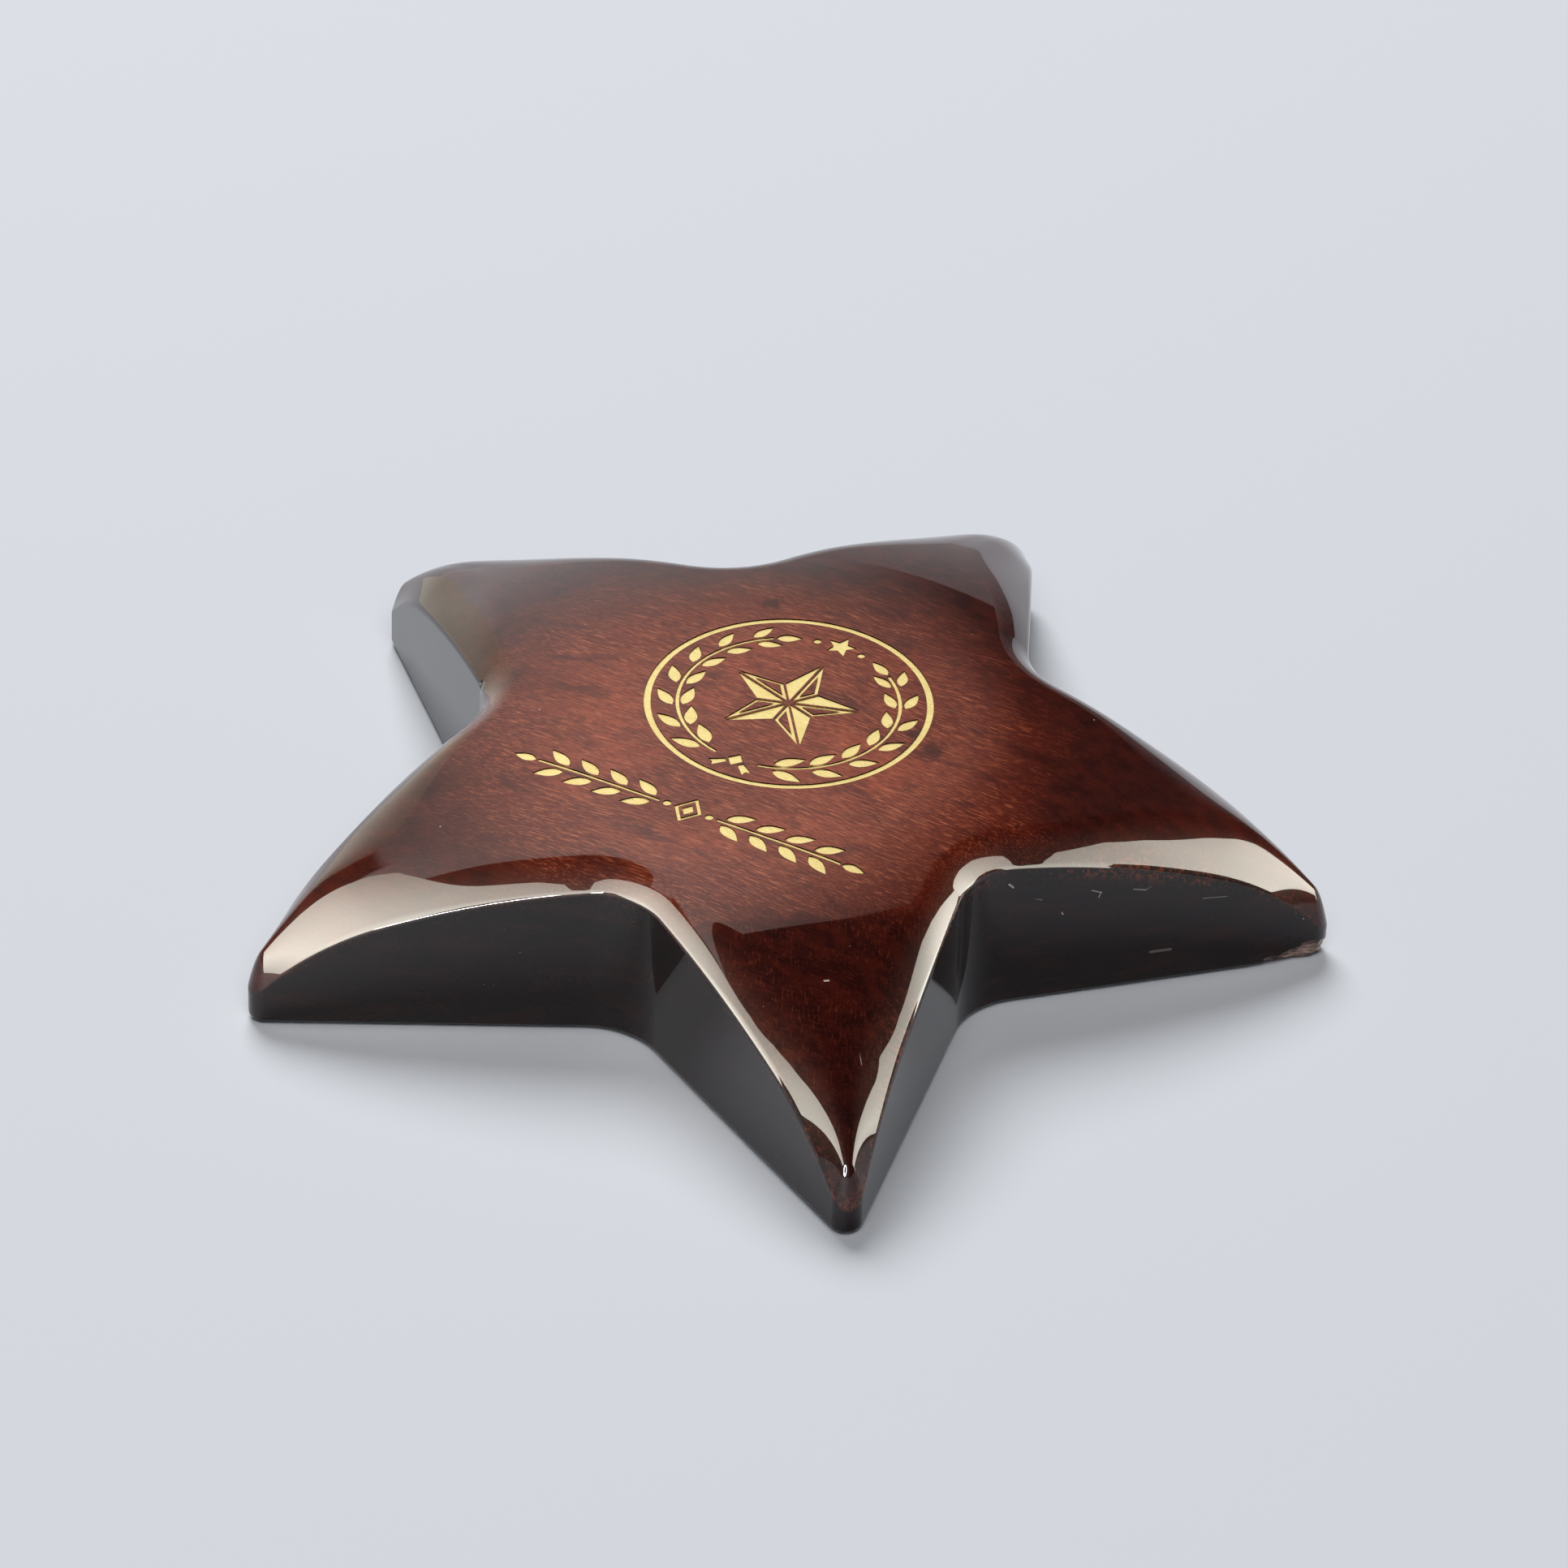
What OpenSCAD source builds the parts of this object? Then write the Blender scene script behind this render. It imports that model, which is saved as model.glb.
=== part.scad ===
// Five-pointed star award that lies flat on a desk.
// A solid block of stained and lacquered wood with a gold-filled engraving
// on its flat middle and a felt pad let into its base.
// Millimetres. +Z is up, the star lies on z = 0, its centre is the origin and
// the top of the emblem points to +Y.

/* [Star] */
// Distance from the centre to the sharp corner that each rounded tip would have
tip_reach = 74; // [62:0.5:90]
// Distance from the centre to the sharp inside corner, as a share of tip_reach
waist_ratio = 0.4855; // [0.46:0.005:0.53]
// Radius of each tip, seen from above
tip_r = 2.1; // [1.4:0.1:3.5]
// Radius of each inside corner, seen from above
notch_r = 10.3; // [7:0.1:13]
// Overall height, felt pad included
thick = 25.4; // [22:0.1:30]

/* [Crowned top] */
// Radius of the flat middle of the upper face
flat_r = 24.8; // [24:0.1:26]
// Radius of the curve in which the arms fall away from the flat middle
crown_r = 82; // [76:0.5:140]
// Distance from the centre at which the arms start to bend down further
fall_from = 58; // [50:1:64]
// Extra drop of the upper face at the tips
tip_fall = 3; // [0:0.1:4]

/* [Upper edge] */
// Width of the rounding at the inside corners, seen from above
edge_min = 4.3; // [3:0.1:5]
// How much the rounding widens for each millimetre that an arm narrows
edge_grow = 0.72; // [0.4:0.02:0.9]
// Depth of the rounding
edge_drop = 2.45; // [1.6:0.05:3]
// Extra depth of the rounding at the tips
tip_drop = 0.9; // [0:0.05:1.5]
// Radius of the small rounding where the upper face meets the wall
arris_r = 1.3; // [0.6:0.1:1.5]
// Size of the small rounding along the lower edge
foot_r = 0.9; // [0.4:0.1:1.5]

/* [Engraving] */
// Depth of the engraved pockets
pocket_depth = 0.45; // [0.3:0.05:0.8]
// How far the gold fill stays below the surface of the wood
fill_recess = 0.15; // [0.05:0.05:0.2]
// Distance from the star's centre to the emblem's centre
emblem_y = 4; // [2:0.1:5]
// Outer radius of the emblem's ring
ring_r = 18.2; // [16.5:0.1:18.6]
// Width of the emblem's ring
ring_w = 0.85; // [0.6:0.05:1.2]
// Distance from the star's centre to the line below the emblem
line_y = -22.2; // [-23:0.1:-20]

/* [Base pad] */
// Distance from the star's outline to the recess in the base
recess_inset = 4; // [3:0.1:6]
// Gap between the pad and the wall of its recess
pad_gap = 0.3; // [0.1:0.05:0.6]
// Thickness of the felt
felt_t = 1.2; // [0.8:0.05:2]
// Thickness of the adhesive film that holds the felt
film_t = 0.15; // [0.1:0.05:0.3]
// How far the felt stands below the wood
pad_proud = 0.3; // [0.1:0.05:0.6]

/* [Hidden] */

ARMS = 5;
rho = waist_ratio * tip_reach;
// half angle of each arm at its sharp tip
al = atan2(rho * sin(36), tip_reach - rho * cos(36));
// centres of the tip arc, on the arm's axis, and of the notch arc, on the ray between two arms
tip_c = tip_reach - tip_r / sin(al);
notch_c = rho + notch_r / sin(36 + al);
// columns on half an arm: along the tip arc, the straight edge and the notch arc
n_tip = 4;
n_edge = 6;
n_notch = 5;
// steps over the upper edge: 0 to 1 is the small rounding, 1 to 2 the wide one
FILLET = [0, 0.5, 1, 1.25, 1.5, 1.75, 2];
N_CROWN = 6;

function turn(p, a) = [p[0] * cos(a) - p[1] * sin(a), p[0] * sin(a) + p[1] * cos(a)];
// straight edge of half an arm, from the tip arc to the notch arc
edge_a = [tip_c + tip_r * sin(al), tip_r * cos(al)];
edge_b = [notch_c * cos(36) - notch_r * sin(al), notch_c * sin(36) - notch_r * cos(al)];

// half an arm on the +X axis: [x, y, normal x, normal y, distance to the arm's axis plane]
half_arm = concat(
    [for (i = [0:n_tip]) let (f = (90 - al) * i / n_tip)
        [tip_c + tip_r * cos(f), tip_r * sin(f), cos(f), sin(f), tip_r]],
    [for (i = [1:n_edge]) let (t = i / (n_edge + 1), p = edge_a * (1 - t) + edge_b * t)
        [p[0], p[1], sin(al), cos(al),
         (tip_reach - p[0] + p[1] * tan(al)) * sin(al)]],
    [for (i = [0:n_notch]) let (f = (90 - al) - (54 - al) * i / n_notch)
        [notch_c * cos(36) - notch_r * cos(f), notch_c * sin(36) - notch_r * sin(f),
         cos(f), sin(f), 1000]]);
m_half = len(half_arm) - 1;
function flip(c) = [c[0], -c[1], c[2], -c[3], c[4]];
arm = concat([for (i = [m_half - 1:-1:1]) flip(half_arm[i])],
             [for (i = [0:m_half]) half_arm[i]]);
function place(c, a) = let (p = turn([c[0], c[1]], a), n = turn([c[2], c[3]], a))
    [p[0], p[1], n[0], n[1], c[4]];
// every column of the outline, counter-clockwise seen from above
columns = [for (k = [0:ARMS - 1]) for (c = arm) place(c, 90 + 72 * k)];
n_col = len(columns);

// width of the rounding: all of a narrow arm, less where the arm is wide
function edge_at(c) = let (w = c[4], g = edge_min + edge_grow * 0.5 * ((17 - w) + sqrt((17 - w) * (17 - w) + 4)))
    pow(pow(g, -6) + pow(0.93 * w, -6), -1 / 6);
function drop_at(c) = edge_drop + tip_drop * exp(-(c[4] - tip_r) / 3);
// height of the crowned top at radius r
function tip_drop_at(r) = r <= fall_from ? 0 : tip_fall * pow((r - fall_from) / (tip_reach - 3 - fall_from), 2);
function crown_z(r) = r <= flat_r ? thick
    : thick - crown_r + sqrt(crown_r * crown_r - (r - flat_r) * (r - flat_r)) - tip_drop_at(r);
// a point of the outline moved inwards by s
function inset(c, s) = [c[0] - c[2] * s, c[1] - c[3] * s];

// slope of the wide rounding where it meets the small one
function arris_a(c) = atan(2 * drop_at(c) / (edge_at(c) - arris_r * (1 - sin(atan(2 * drop_at(c) / edge_at(c))))));
function fillet_point(c, t) = let (a = edge_at(c), th = arris_a(c),
        f = 90 + (th - 90) * min(t, 1), u = max(t - 1, 0),
        s = arris_r * (1 - sin(f)) + (a - arris_r * (1 - sin(th))) * u,
        low = drop_at(c) * (1 - u) * (1 - u) + arris_r * (cos(th) - cos(f)),
        p = inset(c, s))
    [p[0], p[1], crown_z(norm(p)) - low];
function crown_point(c, u) = let (p = inset(c, edge_at(c)), r0 = norm(p),
        r = flat_r + (r0 - flat_r) * u, q = p * (r / r0))
    [q[0], q[1], crown_z(r)];
function foot_point(c, t) = let (p = inset(c, foot_r * (1 - sin(t))))
    [p[0], p[1], pad_proud + foot_r * (1 - cos(t))];

rings = concat(
    [for (t = [0, 45, 90]) [for (c = columns) foot_point(c, t)]],
    [for (t = FILLET) [for (c = columns) fillet_point(c, t)]],
    [for (k = [N_CROWN - 1:-1:0]) [for (c = columns) crown_point(c, k / N_CROWN)]]);
n_ring = len(rings);

module rough_star() {
    pts = [for (r = rings) for (p = r) p];
    faces = concat(
        [[for (i = [0:n_col - 1]) i]],
        [for (k = [0:n_ring - 2]) for (i = [0:n_col - 1])
            let (j = (i + 1) % n_col, a = k * n_col, b = a + n_col) [a + i, b + i, b + j]],
        [for (k = [0:n_ring - 2]) for (i = [0:n_col - 1])
            let (j = (i + 1) % n_col, a = k * n_col, b = a + n_col) [a + i, b + j, a + j]],
        [[for (i = [n_col - 1:-1:0]) (n_ring - 1) * n_col + i]]);
    polyhedron(points = pts, faces = faces, convexity = 6);
}

// ---- outlines of the engraving, drawn flat ----

// leaf that points to +X from the origin
function leaf(l, w, n = 8) = concat(
    [for (i = [0:n]) let (t = i / n) [l * t, w / 2 * sin(180 * pow(t, 0.8))]],
    [for (i = [n - 1:-1:1]) let (t = i / n) [l * t, -w / 2 * sin(180 * pow(t, 0.8))]]);
function star_pts(r, q) = [for (i = [0:9]) let (a = 90 + 36 * i, s = i % 2 == 0 ? r : r * q)
    [s * cos(a), s * sin(a)]];
// a stroke of width w along the given points
function dirn(p, i) = let (a = p[max(i - 1, 0)], b = p[min(i + 1, len(p) - 1)]) (b - a) / norm(b - a);
function stroke(p, w) = concat(
    [for (i = [0:len(p) - 1]) let (d = dirn(p, i)) p[i] + [d[1], -d[0]] * w / 2],
    [for (i = [len(p) - 1:-1:0]) let (d = dirn(p, i)) p[i] - [d[1], -d[0]] * w / 2]);
// a triangle with every side moved inwards by d
function tri_in(t, d) = let (
        a = norm(t[1] - t[2]), b = norm(t[2] - t[0]), c = norm(t[0] - t[1]),
        s = (a + b + c) / 2, r = sqrt((s - a) * (s - b) * (s - c) / s),
        o = (t[0] * a + t[1] * b + t[2] * c) / (a + b + c))
    [for (p = t) o + (p - o) * (1 - d / r)];

leaf_l = 4.3;
leaf_w = 1.75;
leaf_tilt = 24;
leaf_off = 0.66;
branch_r = 14;
branch_lo = -70;
branch_hi = 44;
branch_n = 7;
stem_w = 0.46;

module branch_2d(side) {
    step = (branch_hi - branch_lo) / (branch_n - 1);
    scale([side, 1]) {
        polygon(stroke([for (i = [0:24]) let (a = branch_lo - 8 + (branch_hi - branch_lo + 18) * i / 24)
            branch_r * [cos(a), sin(a)]], stem_w));
        for (i = [0:branch_n - 1]) {
            a = branch_lo + step * i;
            k = 1 - 0.2 * i / (branch_n - 1);
            for (s = [-1, 1]) rotate(a) translate([branch_r + s * leaf_off, 0])
                rotate(90 - s * leaf_tilt) polygon(leaf(leaf_l * k, leaf_w * k));
        }
        rotate(branch_hi + 11.2) translate([branch_r, 0]) rotate(96)
            polygon(leaf(leaf_l * 0.8, leaf_w * 0.85));
    }
}

facet_r = 9.9;
facet_q = 0.42;
facet_gap = 0.15;
facet_line = 0.42;
module star_2d() {
    for (k = [0:4]) rotate(90 + 72 * k) {
        tip = [facet_r, 0];
        nl = facet_r * facet_q * [cos(36), sin(36)];
        nr = facet_r * facet_q * [cos(36), -sin(36)];
        polygon(tri_in([[0, 0], tip, nl], facet_gap));
        difference() {
            polygon(tri_in([[0, 0], nr, tip], facet_gap));
            polygon(tri_in([[0, 0], nr, tip], facet_gap + facet_line));
        }
    }
}

module ring_2d() {
    difference() {
        circle(r = ring_r, $fn = 96);
        circle(r = ring_r - ring_w, $fn = 96);
    }
}

crest_y = 14;
module crest_2d() {
    translate([0, crest_y]) polygon(star_pts(2.1, 0.45));
    for (s = [-1, 1]) rotate(s * 13) translate([0, crest_y - 0.1]) circle(r = 0.5, $fn = 20);
}

module knot_2d() {
    translate([0, -branch_r]) {
        polygon([[0, 1.25], [-1.05, 0], [0, -1.25], [1.05, 0]]);
        for (s = [-1, 1]) scale([s, 1])
            polygon([[0.75, -0.85], [1.3, -0.35], [3.1, -1.55], [2.35, -1.75], [2.2, -2.45]]);
    }
}

line_l = 24.6;
line_leaf = 3.95;
line_w = 1.65;
module garland_2d(side) {
    scale([side, 1]) {
        polygon(stroke([[4, 0], [line_l - line_leaf * 0.8 - 0.2, 0]], stem_w));
        for (i = [0:3]) for (s = [-1, 1]) translate([4.9 + 4.1 * i, s * leaf_off])
            rotate(s * 30) polygon(leaf(line_leaf, line_w));
        translate([line_l - line_leaf * 0.8, 0]) polygon(leaf(line_leaf * 0.8, line_w * 0.85));
    }
}

module gem_2d() {
    lozenge = [[0, 2.6], [-1.9, 0], [0, -2.6], [1.9, 0]];
    difference() {
        polygon(lozenge);
        polygon(0.72 * lozenge);
    }
    polygon(0.42 * lozenge);
    for (s = [-1, 1]) translate([s * 2.95, 0]) circle(r = 0.55, $fn = 20);
}

module on_emblem() translate([0, emblem_y]) children();
module on_line() translate([0, line_y]) children();

// everything below the crowned top lowered by d, out to the end of the line ornament
crown_out = 38;
module crown_solid(d) {
    rotate_extrude($fn = 180) polygon(concat([[0, thick - 3], [0, thick - d]],
        [for (i = [0:9]) let (r = flat_r + (crown_out - flat_r) * i / 9) [r, crown_z(r) - d]],
        [[crown_out, thick - 3]]));
}

// gold deposit in the flat middle
module fill_flat() translate([0, 0, thick - pocket_depth])
    linear_extrude(pocket_depth - fill_recess) children();
// gold deposit that follows the crowned top
module fill_crowned() difference() {
    intersection() {
        translate([0, 0, thick - 2]) linear_extrude(3) children();
        crown_solid(fill_recess);
    }
    crown_solid(pocket_depth);
}
module pocket_flat() translate([0, 0, thick - pocket_depth])
    linear_extrude(pocket_depth + 1) children();
module pocket_crowned() difference() {
    translate([0, 0, thick - 2]) linear_extrude(3) children();
    crown_solid(pocket_depth);
}

// outline moved inwards by d, with the tips cut back to where both sides meet
function pad_col(d) = let (k = 1 - d / (tip_reach * sin(al)), rt = 1.2, c = tip_reach * k - rt / sin(al),
        nr = notch_r + d, nc = rho * k + nr / sin(36 + al))
    concat([for (i = [0:3]) let (f = (90 - al) * i / 3) [c + rt * cos(f), rt * sin(f)]],
           [for (i = [0:6]) let (f = (90 - al) - (54 - al) * i / 6)
               [nc * cos(36) - nr * cos(f), nc * sin(36) - nr * sin(f)]]);
function pad_pts(d) = let (h = pad_col(d), m = len(h) - 1,
        a = concat([for (i = [m - 1:-1:1]) [h[i][0], -h[i][1]]], h))
    [for (k = [0:ARMS - 1]) for (p = a) turn(p, 90 + 72 * k)];

recess_depth = felt_t + film_t - pad_proud;

// ---- the pieces ----

module star_body() color([0.24, 0.06, 0.045]) difference() {
    rough_star();
    translate([0, 0, -1]) linear_extrude(1 + pad_proud + recess_depth)
        polygon(pad_pts(recess_inset));
    pocket_flat() on_emblem() ring_2d();
    pocket_flat() on_emblem() star_2d();
    pocket_flat() on_emblem() crest_2d();
    pocket_flat() on_emblem() knot_2d();
    pocket_flat() on_emblem() branch_2d(-1);
    pocket_flat() on_emblem() branch_2d(1);
    pocket_crowned() on_line() gem_2d();
    pocket_crowned() on_line() garland_2d(-1);
    pocket_crowned() on_line() garland_2d(1);
}

module emblem_ring() color([0.86, 0.68, 0.28]) fill_flat() on_emblem() ring_2d();
module emblem_star() color([0.86, 0.68, 0.28]) fill_flat() on_emblem() star_2d();
module emblem_crest() color([0.86, 0.68, 0.28]) fill_flat() on_emblem() crest_2d();
module emblem_knot() color([0.86, 0.68, 0.28]) fill_flat() on_emblem() knot_2d();
module laurel_left() color([0.86, 0.68, 0.28]) fill_flat() on_emblem() branch_2d(-1);
module laurel_right() color([0.86, 0.68, 0.28]) fill_flat() on_emblem() branch_2d(1);
module garland_left() color([0.86, 0.68, 0.28]) fill_crowned() on_line() garland_2d(-1);
module garland_right() color([0.86, 0.68, 0.28]) fill_crowned() on_line() garland_2d(1);
module garland_gem() color([0.86, 0.68, 0.28]) fill_crowned() on_line() gem_2d();
module pad_adhesive() color([0.8, 0.76, 0.62]) translate([0, 0, felt_t])
    linear_extrude(film_t) polygon(pad_pts(recess_inset + pad_gap));
module felt_pad() color([0.07, 0.07, 0.08])
    linear_extrude(felt_t) polygon(pad_pts(recess_inset + pad_gap));

star_body();
emblem_ring();
emblem_star();
emblem_crest();
emblem_knot();
laurel_left();
laurel_right();
garland_left();
garland_right();
garland_gem();
pad_adhesive();
felt_pad();
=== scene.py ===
import math
import bpy
import numpy as np
from mathutils import Vector, Matrix, geometry, noise


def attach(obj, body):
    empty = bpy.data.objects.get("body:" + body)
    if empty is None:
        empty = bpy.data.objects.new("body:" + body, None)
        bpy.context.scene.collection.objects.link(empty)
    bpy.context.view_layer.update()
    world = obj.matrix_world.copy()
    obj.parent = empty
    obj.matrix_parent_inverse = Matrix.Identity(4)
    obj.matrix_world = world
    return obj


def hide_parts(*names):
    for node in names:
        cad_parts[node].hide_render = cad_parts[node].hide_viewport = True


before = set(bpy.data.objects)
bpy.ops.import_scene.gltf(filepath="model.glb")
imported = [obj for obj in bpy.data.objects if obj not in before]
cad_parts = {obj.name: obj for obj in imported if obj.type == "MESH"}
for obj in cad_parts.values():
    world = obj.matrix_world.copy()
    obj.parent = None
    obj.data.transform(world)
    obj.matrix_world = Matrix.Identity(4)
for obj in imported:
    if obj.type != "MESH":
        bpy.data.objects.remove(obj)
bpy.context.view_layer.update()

MM = 0.001

# --------------------------------------------------------------------------
# Dimensions, in millimetres, the same as the CAD model's
# --------------------------------------------------------------------------
TIP_REACH, WAIST = 74.0, 0.4855
TIP_R, NOTCH_R = 2.1, 10.3
THICK = 25.4
FLAT_R, CROWN_R = 24.8, 82.0
FALL_FROM, TIP_FALL = 58.0, 3.0
EDGE_MIN, EDGE_GROW, EDGE_DROP, TIP_DROP, ARRIS_R, FOOT_R = 4.3, 0.72, 2.45, 0.9, 1.3, 0.9
POCKET, RECESS = 0.45, 0.15
EMBLEM_Y, LINE_Y = 4.0, -22.2
RING_R, RING_W = 18.2, 0.85
PAD_INSET, PAD_GAP, FELT_T, FILM_T, PROUD = 4.0, 0.3, 1.2, 0.15, 0.3

RHO = WAIST * TIP_REACH
C36, S36 = math.cos(math.radians(36)), math.sin(math.radians(36))
AL = math.atan2(RHO * S36, TIP_REACH - RHO * C36)
SA, CA = math.sin(AL), math.cos(AL)
TIP_C = TIP_REACH - TIP_R / SA
NOTCH_C = RHO + NOTCH_R / math.sin(math.radians(36) + AL)
EDGE_A = np.array([TIP_C + TIP_R * SA, TIP_R * CA])
EDGE_B = np.array([NOTCH_C * C36 - NOTCH_R * SA, NOTCH_C * S36 - NOTCH_R * CA])
W_END = (TIP_REACH - EDGE_B[0] + EDGE_B[1] * SA / CA) * SA


def column(s):
    """Half an arm along +X. s from 0 (tip) over 1 and 2 (straight edge) to 3 (inside corner)."""
    s = np.asarray(s, float)
    f1 = (math.pi / 2 - AL) * np.clip(s, 0, 1)
    t2 = np.clip(s - 1, 0, 1)[:, None]
    f3 = (math.pi / 2 - AL) - (math.radians(54) - AL) * np.clip(s - 2, 0, 1)
    p1 = np.c_[TIP_C + TIP_R * np.cos(f1), TIP_R * np.sin(f1)]
    p2 = EDGE_A * (1 - t2) + EDGE_B * t2
    p3 = np.c_[NOTCH_C * C36 - NOTCH_R * np.cos(f3), NOTCH_C * S36 - NOTCH_R * np.sin(f3)]
    n1 = np.c_[np.cos(f1), np.sin(f1)]
    n2 = np.tile([SA, CA], (len(s), 1))
    n3 = np.c_[np.cos(f3), np.sin(f3)]
    w2 = (TIP_REACH - p2[:, 0] + p2[:, 1] * math.tan(AL)) * SA
    a, b = (s <= 1)[:, None], (s <= 2)[:, None]
    p = np.where(a, p1, np.where(b, p2, p3))
    n = np.where(a, n1, np.where(b, n2, n3))
    # distance to the arm's middle plane, growing without bound towards the inside corner
    w = np.where(s <= 1, TIP_R, np.where(s <= 2, w2, W_END / (1 - 0.999 * np.clip(s - 2, 0, 1))))
    return p, n, w


def edge_at(w):
    """Width of the rounding: all of a narrow arm, less where the arm is wide."""
    g = EDGE_MIN + EDGE_GROW * 0.5 * ((17 - w) + np.sqrt((17 - w) ** 2 + 4))
    return (g ** -6.0 + (0.93 * w) ** -6.0) ** (-1 / 6)


def drop_at(w):
    return EDGE_DROP + TIP_DROP * np.exp(-(w - TIP_R) / 3)


def crown(r):
    x = np.clip(np.asarray(r, float) - FLAT_R, 0, None)
    fall = np.clip(np.asarray(r, float) - FALL_FROM, 0, None) / (TIP_REACH - 3 - FALL_FROM)
    return THICK - CROWN_R + np.sqrt(CROWN_R ** 2 - x * x) - TIP_FALL * fall * fall


def crown_normal(x, y):
    r = np.hypot(x, y)
    d = np.clip(r - FLAT_R, 0, None)
    fall = np.clip(r - FALL_FROM, 0, None) / (TIP_REACH - 3 - FALL_FROM) ** 2
    sl = d / np.sqrt(CROWN_R ** 2 - d * d) + 2 * TIP_FALL * fall
    k = sl / np.maximum(r, 1e-9)
    n = np.stack([x * k, y * k, np.ones_like(r)], -1)
    return n / np.linalg.norm(n, axis=-1, keepdims=True)


def fillet(s, t):
    """Upper edge, t from 0 (top of the wall) over 1 (end of the small rounding) to 2 (crowned top)."""
    p, n, w = column(s)
    a, b = edge_at(w), drop_at(w)
    th = np.arctan(2 * b / a)
    i1 = ARRIS_R * (1 - np.sin(th))
    th = np.arctan(2 * b / (a - i1))
    f = np.pi / 2 + (th - np.pi / 2) * np.clip(t, 0, 1)
    u = np.clip(t - 1, 0, 1)
    ins = ARRIS_R * (1 - np.sin(f)) + (a - ARRIS_R * (1 - np.sin(th))) * u
    low = b * (1 - u) ** 2 + ARRIS_R * (np.cos(th) - np.cos(f))
    q = p - n * ins[:, None]
    return np.c_[q, crown(np.hypot(q[:, 0], q[:, 1])) - low]


# ---- half arm rows: positions and normals -------------------------------
S = np.r_[np.linspace(0, 1, 13), np.linspace(1, 1.25, 17)[1:], np.linspace(1.25, 2, 35)[1:], np.linspace(2, 3, 19)[1:]]
P0, N0, W0 = column(S)
FOOT_T = np.radians([0, 18, 36, 54, 72, 90])
WALL_U = (np.linspace(0, 1, 19) ** 1.4)[1:]
FIL_T = np.r_[np.linspace(0, 1, 11)[1:], np.linspace(1, 2, 23)[1:]]
rows_p, rows_n = [], []
for t in FOOT_T:
    q = P0 - N0 * (FOOT_R * (1 - math.sin(t)))
    rows_p.append(np.c_[q, np.full(len(S), PROUD + FOOT_R * (1 - math.cos(t)))])
    rows_n.append(np.c_[N0 * math.sin(t), np.full(len(S), -math.cos(t))])
top = fillet(S, np.zeros(len(S)))[:, 2]
for u in WALL_U:
    z0 = PROUD + FOOT_R
    rows_p.append(np.c_[P0, z0 + (top - z0) * u])
    rows_n.append(np.c_[N0, np.zeros(len(S))])
for t in FIL_T:
    tt = np.full(len(S), t)
    e = 1e-4
    s0, s1 = np.clip(S - e, 0, 3), np.clip(S + e, 0, 3)
    ds = (fillet(s1, tt) - fillet(s0, tt)) / (s1 - s0)[:, None]
    dt = (fillet(S, tt) - fillet(S, tt - e)) / e
    nn = np.cross(ds, dt)
    nn /= np.linalg.norm(nn, axis=1)[:, None]
    pp = fillet(S, tt)
    if t > 1.999:
        nn = crown_normal(pp[:, 0], pp[:, 1])
    # the middle of each tip and inside corner lies on a mirror plane
    nn[0, 1] = 0
    k = nn[-1, 0] * -S36 + nn[-1, 1] * C36
    nn[-1, 0] += k * S36
    nn[-1, 1] -= k * C36
    nn /= np.linalg.norm(nn, axis=1)[:, None]
    rows_p.append(pp)
    rows_n.append(nn)
HP, HN = np.array(rows_p), np.array(rows_n)
# how much of each row is wall, small upper rounding and lower rounding
ROW_WALL = np.r_[np.ones(len(FOOT_T) + len(WALL_U)), np.clip(1 - 0.6 * FIL_T, 0, 1) * (FIL_T <= 1) + np.clip(0.4 - 0.8 * (FIL_T - 1), 0, 1) * (FIL_T > 1)]
ROW_ARRIS = np.r_[np.zeros(len(FOOT_T)), np.exp(-((1 - WALL_U) / 0.06) ** 2), np.exp(-((FIL_T - 0.75) / 0.45) ** 2)]
ROW_FOOT = np.r_[np.ones(len(FOOT_T)), np.exp(-(WALL_U / 0.05) ** 2), np.zeros(len(FIL_T))]
MIR = np.array([1, -1, 1.0])
AP = np.concatenate([(HP * MIR)[:, -2:0:-1], HP], 1)
AN = np.concatenate([(HN * MIR)[:, -2:0:-1], HN], 1)


def rotz(v, deg):
    c, s = math.cos(math.radians(deg)), math.sin(math.radians(deg))
    return np.stack([v[..., 0] * c - v[..., 1] * s, v[..., 0] * s + v[..., 1] * c, v[..., 2]], -1)


GP = np.concatenate([rotz(AP, 90 + 72 * k) for k in range(5)], 1)
GN = np.concatenate([rotz(AN, 90 + 72 * k) for k in range(5)], 1)
NR, NC = GP.shape[:2]

# A chip knocked out of the lower edge beside one tip
CHIP = np.zeros((NR, NC))
_a = math.radians(18)
_tip = TIP_REACH * np.array([math.cos(_a), math.sin(_a)])
_in = RHO * np.array([math.cos(_a - math.radians(36)), math.sin(_a - math.radians(36))])
_d = (_in - _tip) / np.linalg.norm(_in - _tip)
_u = (GP[..., :2] - _tip) @ _d
_side = np.abs((GP[..., :2] - _tip) @ np.array([_d[1], -_d[0]])) < 2.4
for k in range(NR):
    for i in range(NC):
        u, z = _u[k, i], GP[k, i, 2]
        if not _side[k, i] or not 1.0 < u < 13.6 or z > 6 or k >= len(FOOT_T) + len(WALL_U):
            continue
        lim = 3.3 * (1 - (u - 3.4) / 10.5) if u > 3.4 else 3.3 * max(0.0, (u - 1.0) / 2.4) ** 0.5
        v = Vector((u * 0.55, z * 0.9, 3.7))
        lim += 0.9 * noise.noise(v) + 0.35 * noise.noise(v * 3.1)
        if lim <= 0 or z >= lim:
            continue
        q = 1 - z / lim
        dent = 0.95 * q ** 0.55 * (0.75 + 0.5 * noise.noise(v * 2.3)) + 0.16 * noise.noise(Vector((u * 1.3, z * 3.5, 1.2)))
        dent *= min(1.0, (13.6 - u) / 2.5)
        CHIP[k, i] = max(0.0, dent)
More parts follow.
